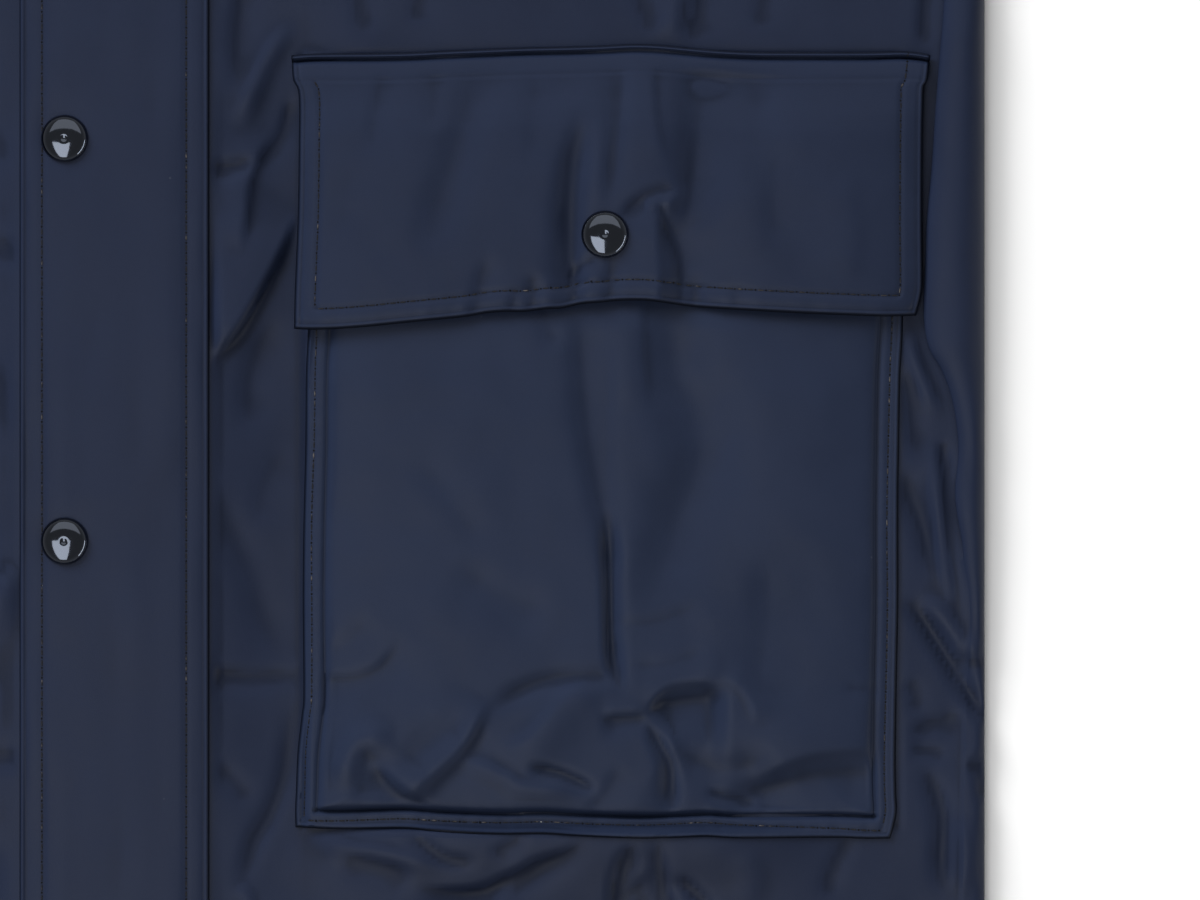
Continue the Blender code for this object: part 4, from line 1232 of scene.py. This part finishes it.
def bag_height(px, py, creases):
    """How far the bag stands above the front at the points px, py from the pocket's middle."""
    left, right, foot = px - BAG_LEFT(py), BAG_RIGHT(py) - px, py - BAG_FOOT(px)
    sides = np.minimum(left, right)
    nearest = np.minimum(sides, foot)
    above_foot = ease((foot - 2.0) / 1.0)
    border = 1.15 + folded_edge(nearest, 1.05)
    border += stitch_groove(left, BAG_STITCH_LEFT, 0.26, 0.6) * above_foot
    border += stitch_groove(right, BAG_STITCH_RIGHT, 0.26, 0.6) * above_foot
    border += stitch_groove(foot, BAG_STITCH_FOOT(px), 0.3, 0.7) * ease((sides - 2.0) / 1.0)
    past_side = sides - BAG_LINE_SIDE
    past_foot = foot - BAG_LINE_FOOT(px)
    side_rise = SIDE_STEP * settled(past_side, 1.1) + (1 - SIDE_STEP) * settled(past_side, 12.0)
    foot_rise = FOOT_STEP * settled(past_foot, 0.8) + (1 - FOOT_STEP) * settled(past_foot, 13.0)
    mouth = 1 - MOUTH_FALL * ease((py - UNDER_FLAP_Y) / 16.0)
    puff = BAG_PUFF * np.minimum(side_rise, foot_rise) * mouth
    line = ridge(past_side, -0.3, 0.6, -0.42) * ease((foot - 4.5) / 1.5)
    line += ridge(past_foot, -0.45, 0.55, -1.25) * ease((sides - 4.5) / 1.2)
    gathered = puckers(px, 31.0) * ridge(foot, 4.0, 3.5, 0.22)
    gathered += puckers(py, 37.0) * ridge(sides, 4.0, 3.5, 0.14)
    free = ease((nearest - 3.5) / 5.0)
    soft = 0.30 * uneven(px, py, 26.0, 41.0) + 0.12 * uneven(px, py, 9.0, 43.0)
    folds = crease_height(px, py, creases)
    return border + line + gathered * ease(nearest / 1.5) + puff + (folds + soft) * free


def in_coat(side, px, py):
    """A place given from the pocket's middle, in the coat's plan."""
    return side * (POCKET[0] + px), POCKET[1] + py


def bag_top(px, py, side, creases):
    """The top of the bag above the table."""
    return upper_top(*in_coat(side, px, py)) + bag_height(px, py, creases)


# %% Lay the pocket bags
def bag_skin(side, creases, edge_pitch, pitch):
    """The outer face of a bag. The lattice is fine along the sewn edges, and its lines follow them."""
    share_x, offset_x = between(9.0, edge_pitch, 9.0, edge_pitch, 157.0, pitch)
    rise = runs((0.0, 9.0, edge_pitch), (9.0, 142.0, pitch), (142.0, 191.0, 3.5))
    foot = -101.0 * np.ones((1, len(share_x)))
    for _ in range(2):
        py = foot + rise[:, None] * (BAG_HEAD - foot) / rise[-1]
        left, right = BAG_LEFT(py), BAG_RIGHT(py)
        px = left + (right - left) * share_x + offset_x
        foot = BAG_FOOT(px[:1])
    py = foot + rise[:, None] * (BAG_HEAD - foot) / rise[-1]
    return np.dstack([*in_coat(side, px, py), bag_top(px, py, side, creases)])


bags = {}
for side, word, *lattice in ((1, "left", ON_BAG, 0.5, 0.87), (-1, "right", ON_RIGHT_BAG, 0.75, 2.3)):
    bags[side] = lay_cloth(f"pocket_{word}", bag_skin(side, *lattice), BAG_CLOTH,
                           thickness=BAG_THICKNESS)

# %% [markdown]
# ## The pocket flap
# The flap is cut double and turned, so its edges are round. It is sewn on along the top, where the fold
# stands up as a narrow welt. Below that it rises over the bag, and its lower edge hangs free of it with
# an arch in the middle, pulled up by the snap. The snap pulls a hollow and a few creases into it.

# %% Outlines of the pocket flap, from the pocket's middle
FLAP_LEFT = edge_of(((31.6, -80.6), (34, -80.5), (40, -80.4), (50, -80.0), (60, -79.6), (70, -79.4),
                     (80, -79.3), (90, -79.2), (94.6, -79.5), (96.4, -80.3), (98, -80.9), (104, -81.3),
                     (106, -81.3)))
FLAP_RIGHT = edge_of(((34.6, 83.0), (38, 83.9), (41, 84.6), (45, 84.9), (60, 84.8), (80, 84.9),
                      (90, 85.1), (95.6, 85.3), (97, 86.1), (100, 86.6), (104, 87.0), (107, 87.2)))
FLAP_LOWER = edge_of(((-82, 32.2), (-78.5, 31.7), (-71, 31.7), (-62, 32.3), (-50, 33.5), (-36, 34.9),
                      (-30, 35.9), (-25, 36.3), (-20, 36.3), (-14, 37.0), (-10, 37.2), (-5, 38.3),
                      (0, 38.7), (5, 39.2), (12, 39.2), (18, 38.5), (25, 37.6), (33, 37.0), (45, 36.3),
                      (55, 35.8), (65, 35.4), (75, 35.1), (84, 35.4)))
FLAP_UPPER = edge_of(((-82, 103.9), (-75, 104.4), (-60, 104.5), (-50, 104.7), (-40, 105.2), (-30, 105.6),
                      (-20, 106.0), (-10, 106.2), (0, 106.5), (8, 106.9), (14, 106.8), (20, 106.3),
                      (30, 105.4), (40, 104.9), (50, 104.8), (70, 104.8), (80, 105.0), (86, 104.3),
                      (88, 103.4)))
FLAP_RISE = edge_of(((0.0, 0.3), (0.35, 1.2), (0.8, 1.5), (1.15, 0.9), (1.6, -0.5), (1.9, -0.5),
                     (2.4, 0.9), (3.4, 1.5), (6.0, 2.3), (12.0, 3.7), (18.0, 5.2), (24.0, 5.9),
                     (40.0, 6.1), (80.0, 6.1)))
SNAP = (1.3, 56.6)
FLAP_STITCH = 5.5
FLAP_STITCH_RIGHT = 6.0
FLAP_ALLOWANCE = 7.0
FLAP_SEAT = LAY + SEAM + 1.2
FLAP_CLEARANCE = 1.3
FLAP_EDGE = 1.3
FLAP_THICKNESS = 1.0


# %% Lay the pocket flaps
def flap_lattice(edge_pitch, pitch):
    """The lattice of a flap from the pocket's middle, and how far each point is inside its four edges."""
    share_x, offset_x = between(8.0, edge_pitch, 8.0, edge_pitch, 164.0, pitch)
    share_y, offset_y = between(8.0, edge_pitch, 8.5, 0.45, 68.0, pitch)
    share_y, offset_y = share_y[:, None], offset_y[:, None]
    py = 33.0 + 72.0 * share_y + offset_y * np.ones((1, len(share_x)))
    for _ in range(3):
        left, right = FLAP_LEFT(py), FLAP_RIGHT(py)
        px = left + (right - left) * share_x + offset_x
        low, high = FLAP_LOWER(px), FLAP_UPPER(px)
        py = low + (high - low) * share_y + offset_y
    return px, py, px - left, right - px, py - low, high - py


def flap_skin(side, creases, bag_creases, edge_pitch, pitch):
    """The outer face of a flap: rows from the lower edge up, columns from left to right."""
    px, py, inside_left, inside_right, inside_low, down = flap_lattice(edge_pitch, pitch)
    sides = np.minimum(inside_left, inside_right)
    side_fall = 3.4 * np.exp(-np.clip(sides, 0, None) / 9.0) * ease((down - 3.0) / 20.0)
    hang = 0.5 * np.exp(-inside_low / 7.0)
    z = FLAP_SEAT + FLAP_RISE(down) - side_fall - hang
    folds = crease_height(px, py, creases)
    soft = 0.28 * uneven(px, py, 30.0, 51.0) + 0.10 * uneven(px, py, 8.0, 53.0)
    z += (folds + soft) * ease((down - 3.0) / 6.0)
    z += ridge(np.hypot(px - SNAP[0], py - SNAP[1]), 0.0, SNAP_HOLLOW, -0.75)
    under = bag_top(px, np.minimum(py, BAG_HEAD), side, bag_creases)
    z = np.maximum(z, under + FLAP_CLEARANCE * ease((down - 3.0) / 8.0))
    body = ease((down - 1.6) / 1.0)
    z += folded_edge(sides, FLAP_EDGE) * (0.35 + 0.65 * body) + folded_edge(inside_low, FLAP_EDGE)
    stitched = ease((down - FLAP_ALLOWANCE + 0.5) / 1.5) * ease((inside_low - 5.0) / 1.0)
    z += stitch_groove(inside_left, FLAP_STITCH) * stitched
    z += stitch_groove(inside_right, FLAP_STITCH_RIGHT) * stitched
    z += stitch_groove(inside_low, FLAP_STITCH) * ease((sides - 5.0) / 1.0)
    z += ridge(inside_low, 3.2, 1.6, 0.16) + puckers(px, 61.0) * ridge(inside_low, 0.0, 6.0, 0.14)
    z += puckers(py, 67.0) * ridge(sides, 0.0, 5.0, 0.12) * body
    z += ridge(down, FLAP_ALLOWANCE, 0.55, -0.16)
    return np.dstack([*in_coat(side, px, py), z])


flaps = {}
for side, word, *lattice in ((1, "left", ON_FLAP, ON_BAG, 0.5, 0.95),
                             (-1, "right", ON_RIGHT_FLAP, ON_RIGHT_BAG, 0.75, 2.3)):
    flaps[side] = lay_cloth(f"pocket_flap_{word}", flap_skin(side, *lattice), FLAP_CLOTH,
                            thickness=FLAP_THICKNESS)

# %% [markdown]
# ## Thread
# The coat is topstitched with a dark, dull polyester thread. Each stitch is a small bead of thread that
# dives into the cloth at both ends, so it is a stretched ball laid along the seam, turned to the cloth
# under it. The needle leaves a hole between two stitches, and a flat black ball there is the painted
# shadow in that hole. A few stitches and holes have painted pale glints.

# %% Thread and needle holes
# Thread and hole colours: painted glints on thread and in a few holes, and painted shadow in the holes.
THREAD_DARK = (0.0070, 0.0065, 0.0075)
THREAD_GLINT = (0.085, 0.074, 0.068)
HOLE_SHADOW = (0.0012, 0.0012, 0.0020)
HOLE_GLINT = (0.35, 0.35, 0.34)


def sewing_thread():
    """Dark twisted thread: near black, with painted pale glints in places, and a faint twist."""
    material, tree, shader, place = new_material("sewing_thread")
    # painted glints: pale patches of the thread in a few places
    light = spread(tree, noise_of(tree, place, 420.0, detail=1.0), 0.60, 0.74)
    twist = add_node(tree, "ShaderNodeTexWave", [("Vector", place), ("Scale", 900.0), ("Distortion", 2.0)],
                     bands_direction="DIAGONAL").outputs["Fac"]
    feed(tree, shader, [
        ("Base Color", blend(tree, light, shade(THREAD_DARK), shade(THREAD_GLINT))),
        ("Roughness", 0.7),
        ("Normal", bump(tree, twist, 0.5, 0.08 * MM)),
    ])
    return material


def needle_hole_shadow():
    """The painted shadow in a needle hole, with a painted pale glint in a few of them."""
    material, tree, shader, place = new_material("needle_hole_shadow")
    # painted glints: pale specks in a few needle holes
    glinting = spread(tree, noise_of(tree, place, 260.0), 0.70, 0.74)
    feed(tree, shader, [
        ("Base Color", blend(tree, glinting, shade(HOLE_SHADOW), shade(HOLE_GLINT))),
        ("Roughness", 1.0),
    ])
    return material


THREAD = sewing_thread()
NEEDLE_HOLE_SHADOW = needle_hole_shadow()
print("thread:", THREAD.name, "and", NEEDLE_HOLE_SHADOW.name)

# %% Sew along seams
STITCH_PITCH = 2.7
STITCH_SIZE = (0.90, 0.20, 0.17)
STITCH_LIFT = 0.04
STITCH_WANDER = 0.1
HOLE_SIZE = (0.30, 0.30, 0.10)
RAY_START = 60.0
DOWN = Vector((0, 0, -1))
rng = np.random.default_rng(5)


def ball(bm, place, axes, size):
    """A small ball at a place, stretched to a size in millimetres along the axes. Gives its points."""
    matrix = Matrix.Translation(place) @ axes @ Matrix.Diagonal((*(Vector(size) * MM), 1.0))
    return bmesh.ops.create_uvsphere(bm, u_segments=6, v_segments=4, radius=1.0, matrix=matrix)["verts"]


def stitch_places(seam):
    """The place and heading of each stitch along a seam."""
    curve = np.asarray(seam, float)
    run = np.concatenate([[0], np.cumsum(np.hypot(*np.diff(curve, axis=0).T))])
    along = np.arange(STITCH_PITCH / 2, run[-1], STITCH_PITCH)
    along = along + rng.uniform(-STITCH_WANDER, STITCH_WANDER, len(along))
    here, after, before = [
        np.column_stack([np.interp(along + step, run, curve[:, axis]) for axis in (0, 1)])
        for step in (0.0, 0.5, -0.5)
    ]
    return zip(here, after - before)


def sew(cloth_piece, seams):
    """Stitches and needle holes along seams on a piece of cloth, joined as one mesh that rides with it."""
    tree = BVHTree.FromObject(cloth_piece, bpy.context.evaluated_depsgraph_get())
    bm = bmesh.new()
    for spot, heading in (stitch for seam in seams for stitch in stitch_places(seam)):
        hit, normal, _, _ = tree.ray_cast(Vector((spot[0], spot[1] + HEM, RAY_START)) * MM, DOWN)
        if hit is None:
            continue
        normal = normal if normal.z > 0 else -normal
        lean = Vector((*heading, 0.0)).normalized()
        lean = (lean - normal * lean.dot(normal)).normalized()
        axes = Matrix((lean, normal.cross(lean), normal)).transposed().to_4x4()
        ball(bm, hit + normal * STITCH_LIFT * MM, axes, STITCH_SIZE)
        # painted shadow: a flat black ball at each needle hole
        hole = ball(bm, hit + lean * STITCH_PITCH / 2 * MM, axes, HOLE_SIZE)
        for face in {face for vert in hole for face in vert.link_faces}:
            face.material_index = 1
    thread = finished(mesh_of(f"{cloth_piece.name}_stitches", bm), (THREAD, NEEDLE_HOLE_SHADOW))
    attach(thread, "root")


# %% Where the rows of stitches run
def bag_seams(side):
    """The rows of stitches round a bag: up both sides, and along the foot."""
    up = np.linspace(-97.2, 88.0, 120)
    foot_x = np.linspace(-77.5, 74.5, 120)
    rows = (
        (BAG_LEFT(up) + BAG_STITCH_LEFT + 0.15 * np.sin(up / 9.0), up),
        (BAG_RIGHT(up - 2.0) - BAG_STITCH_RIGHT + 0.12 * np.sin(up / 11.0), up - 1.6),
        (foot_x, BAG_FOOT(foot_x) + BAG_STITCH_FOOT(foot_x)),
    )
    return [np.column_stack(in_coat(side, px, py)) for px, py in rows]


def flap_seams(side):
    """The rows of stitches on a flap: down the left, along the lower edge, and up the right."""
    low_x = np.linspace(-74.6, 77.4, 120)
    left_y = np.linspace(FLAP_UPPER(-75) - FLAP_ALLOWANCE, FLAP_LOWER(-75) + FLAP_STITCH, 60)
    right_y = np.linspace(FLAP_LOWER(78) + FLAP_STITCH, FLAP_UPPER(79) - 0.8, 60)
    rows = (
        (FLAP_LEFT(left_y) + FLAP_STITCH, left_y),
        (low_x, FLAP_LOWER(low_x) + FLAP_STITCH),
        (FLAP_RIGHT(right_y) - FLAP_STITCH_RIGHT, right_y),
    )
    return [np.column_stack(in_coat(side, px, py)) for px, py in rows]


hem_x = np.array([STORM_HALF + 2.0, HALF_WIDTH - 8.0])
hem_row = np.column_stack([hem_x, np.full(2, HEM_STITCH)])
beside_raglan = np.array([RAGLAN_RUN[1], -RAGLAN_RUN[0]]) * SEAM_STITCH
raglan_row = np.array([[HALF_WIDTH, UNDERARM_Y], NECK_SIDE]) + RAGLAN_RUN * np.array([[9.0], [-9.0]])
over, under = sleeve_edges(np.array([[1 - HEM_STITCH / OVERARM_LENGTH]]))
cuff_row = np.vstack([over + 0.05 * (under - over), over + 0.95 * (under - over)])
hood_rows = through(HOOD_STATIONS, 6)[2:-2]
face_row = hood_rows[:, 2:4] + unit(hood_rows[:, 0:2] - hood_rows[:, 2:4]) * HOOD_STITCH
storm_x = STORM_HALF - STORM_STITCH
storm_end = STORM_TOP - STORM_STITCH
storm_row = ((-storm_x, 4.0), (-storm_x, storm_end), (storm_x, storm_end), (storm_x, 4.0))

# %% Sew the coat
for side, _ in SIDES:
    sew(bags[side], bag_seams(side))
    sew(flaps[side], flap_seams(side))
    sew(fronts[side], [hem_row * (side, 1), (raglan_row - beside_raglan) * (side, 1)])
    sew(sleeves[side], [cuff_row * (side, 1), (raglan_row + beside_raglan) * (side, 1)])
    sew(hoods[side], [face_row * (side, 1)])
sew(storm_flap, [storm_row])

# %% [markdown]
# ## Snaps
# A snap cap is pressed steel with navy enamel: a shallow dome with a small dimple in the middle, rolled
# under at the rim. A profile spun round its own axis gives that exactly. The cap sits a little into the
# cloth.

# %% Snap enamel
ENAMEL_DARK = (0.050, 0.062, 0.088)
ENAMEL_LIGHT = (0.058, 0.071, 0.098)


def snap_enamel():
    """Glossy navy enamel over metal, with faint rubbing."""
    material, tree, shader, place = new_material("snap_enamel")
    rubbing = noise_of(tree, place, 500.0, detail=3.0)
    feed(tree, shader, [
        ("Base Color", blend(tree, rubbing, shade(ENAMEL_DARK), shade(ENAMEL_LIGHT))),
        ("Roughness", spread(tree, rubbing, 0.0, 1.0, 0.05, 0.13)),
        ("Metallic", 1.0),
        ("Coat Weight", 1.0),
    ])
    return material


ENAMEL = snap_enamel()
print("snap finish:", ENAMEL.name)

# %% Make the snaps
CAP_RADIUS = (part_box("snap_pocket_left")[1].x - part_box("snap_pocket_left")[0].x) / 2 / MM
CAP_PROFILE = (
    # radius, height over the foot
    (0.0, 2.46), (0.35, 2.48), (0.6, 2.56), (0.8, 2.66), (1.1, 2.70), (1.7, 2.67), (2.4, 2.60), (3.2, 2.49),
    (4.0, 2.32), (4.7, 2.08), (5.2, 1.82), (5.6, 1.50), (5.9, 1.14), (6.1, 0.80), (6.22, 0.46), (6.25, 0.22),
    (6.18, 0.02), (5.9, -0.12), (5.4, -0.16), (0.0, -0.16),
)
CAP_STEPS = 72
CAP_LIFT = 0.25
CAP_ANGLE = 50.0


def snap(node, cloth_piece):
    """A snap cap over its solid, seated on the cloth under it."""
    low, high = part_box(node)
    centre = (low + high) / 2
    tree = BVHTree.FromObject(cloth_piece, bpy.context.evaluated_depsgraph_get())
    hit, _, _, _ = tree.ray_cast(Vector((centre.x, centre.y, RAY_START * MM)), DOWN)
    scale = CAP_RADIUS / max(radius for radius, _ in CAP_PROFILE) * MM
    bm = bmesh.new()
    verts = [bm.verts.new((radius, 0.0, height)) for radius, height in CAP_PROFILE]
    edges = [bm.edges.new(pair) for pair in zip(verts, verts[1:])]
    bmesh.ops.spin(bm, geom=verts + edges, cent=(0, 0, 0), axis=(0, 0, 1), angle=math.tau, steps=CAP_STEPS,
                   use_merge=True)
    bmesh.ops.remove_doubles(bm, verts=bm.verts[:], dist=0.0005)
    bmesh.ops.recalc_face_normals(bm, faces=bm.faces[:])
    bmesh.ops.scale(bm, verts=bm.verts[:], vec=(scale, scale, scale))
    bmesh.ops.translate(bm, verts=bm.verts[:], vec=(centre.x, centre.y, hit.z + CAP_LIFT * MM))
    join_frame(finished(mesh_of(f"{node}_cap", bm), (ENAMEL,), CAP_ANGLE), node)


for side, word in SIDES:
    snap(f"snap_pocket_{word}", flaps[side])
for node in FRONT_SNAPS:
    snap(node, storm_flap)
print("all pieces:", TOTALS["triangles"], "triangles")

# %% [markdown]
# ## Table, light and camera
# The coat lies on a white table under soft studio light. A box at the upper left shapes the folds, and a
# thin one low at the lower right lights their far sides. A long strip overhead is the bright patch in the
# snap, and a wide dim ceiling fills the rest. The world is pale near the horizon and darker overhead.

# %% White table
TABLE_HALF = 6.0
TABLE_DROP = 0.2 * MM
WHITE_LOW = (0.90, 0.90, 0.90)
WHITE_HIGH = (0.93, 0.93, 0.93)


def make_floor():
    """A large matte white table, with a faint mottle."""
    material, tree, shader, place = new_material("white_table")
    feed(tree, shader, [
        ("Base Color", blend(tree, noise_of(tree, place, 3.0), shade(WHITE_LOW), shade(WHITE_HIGH))),
        ("Roughness", 0.9),
        ("Specular IOR Level", 0.1),
    ])
    bm = bmesh.new()
    bmesh.ops.create_grid(bm, x_segments=1, y_segments=1, size=TABLE_HALF)
    bmesh.ops.translate(bm, verts=bm.verts[:], vec=(0, 0, -TABLE_DROP))
    finished(mesh_of("floor", bm), (material,))


make_floor()

# %% Studio light
WORLD_HORIZON = 0.30
WORLD_ZENITH = 0.15
MIDDLE_OF_VIEW = (POCKET[0] * MM, (POCKET[1] + HEM) * MM, 0.0)


def set_world():
    """Pale at the horizon and dim overhead."""
    world = bpy.data.worlds.new("studio")
    bpy.context.scene.world = world
    world.use_nodes = True
    tree = world.node_tree
    place = add_node(tree, "ShaderNodeTexCoord").outputs["Generated"]
    height = add_node(tree, "ShaderNodeSeparateXYZ", [(0, place)]).outputs["Z"]
    climb = spread(tree, height, 0.0, 0.75, WORLD_HORIZON, WORLD_ZENITH, interpolation_type="SMOOTHSTEP")
    feed(tree, tree.nodes["Background"], [("Color", climb)])


def softbox(name, place, aim, size, radiance, mirrored=True):
    """A rectangular light of this radiance, unseen by the camera and, if not mirrored, by gloss."""
    lamp = bpy.data.lights.new(name, "AREA")
    lamp.shape = "RECTANGLE"
    lamp.size, lamp.size_y = size
    lamp.energy = radiance * math.pi * size[0] * size[1]
    box = bpy.data.objects.new(name, lamp)
    box.location = place
    box.rotation_euler = (Vector(aim) - Vector(place)).to_track_quat("-Z", "Y").to_euler()
    box.visible_camera = False
    box.visible_glossy = mirrored
    bpy.context.scene.collection.objects.link(box)


set_world()
softbox("window_box", (-1.36, 1.20, 1.20), MIDDLE_OF_VIEW, (1.4, 1.2), 14.3, mirrored=False)
softbox("ceiling_box", (0.1, 1.95, 2.0), (0.1, 1.95, 0.0), (3.2, 3.0), 0.72)
softbox("strip_box", (-0.37, -1.60, 1.9), (-0.37, -1.60, 0.0), (0.95, 2.6), 3.0)
softbox("rim_box", (1.25, -0.85, 0.42), MIDDLE_OF_VIEW, (1.3, 0.14), 6.0)
print("lights:", len(bpy.data.lights))

# %% Camera
CAMERA_HEIGHT = 1.6
FLAP_HEIGHT = 0.008
VIEW_WIDTH = 315.8
SENSOR_WIDTH = 36.0
camera = bpy.data.objects.new("camera", bpy.data.cameras.new("camera"))
camera.location = (MIDDLE_OF_VIEW[0], MIDDLE_OF_VIEW[1], CAMERA_HEIGHT)
camera.data.sensor_width = SENSOR_WIDTH
camera.data.lens = SENSOR_WIDTH * (CAMERA_HEIGHT - FLAP_HEIGHT) / (VIEW_WIDTH * MM)
camera.data.clip_end = 100.0
bpy.context.scene.collection.objects.link(camera)
bpy.context.scene.camera = camera
bpy.context.scene.view_settings.view_transform = "Standard"
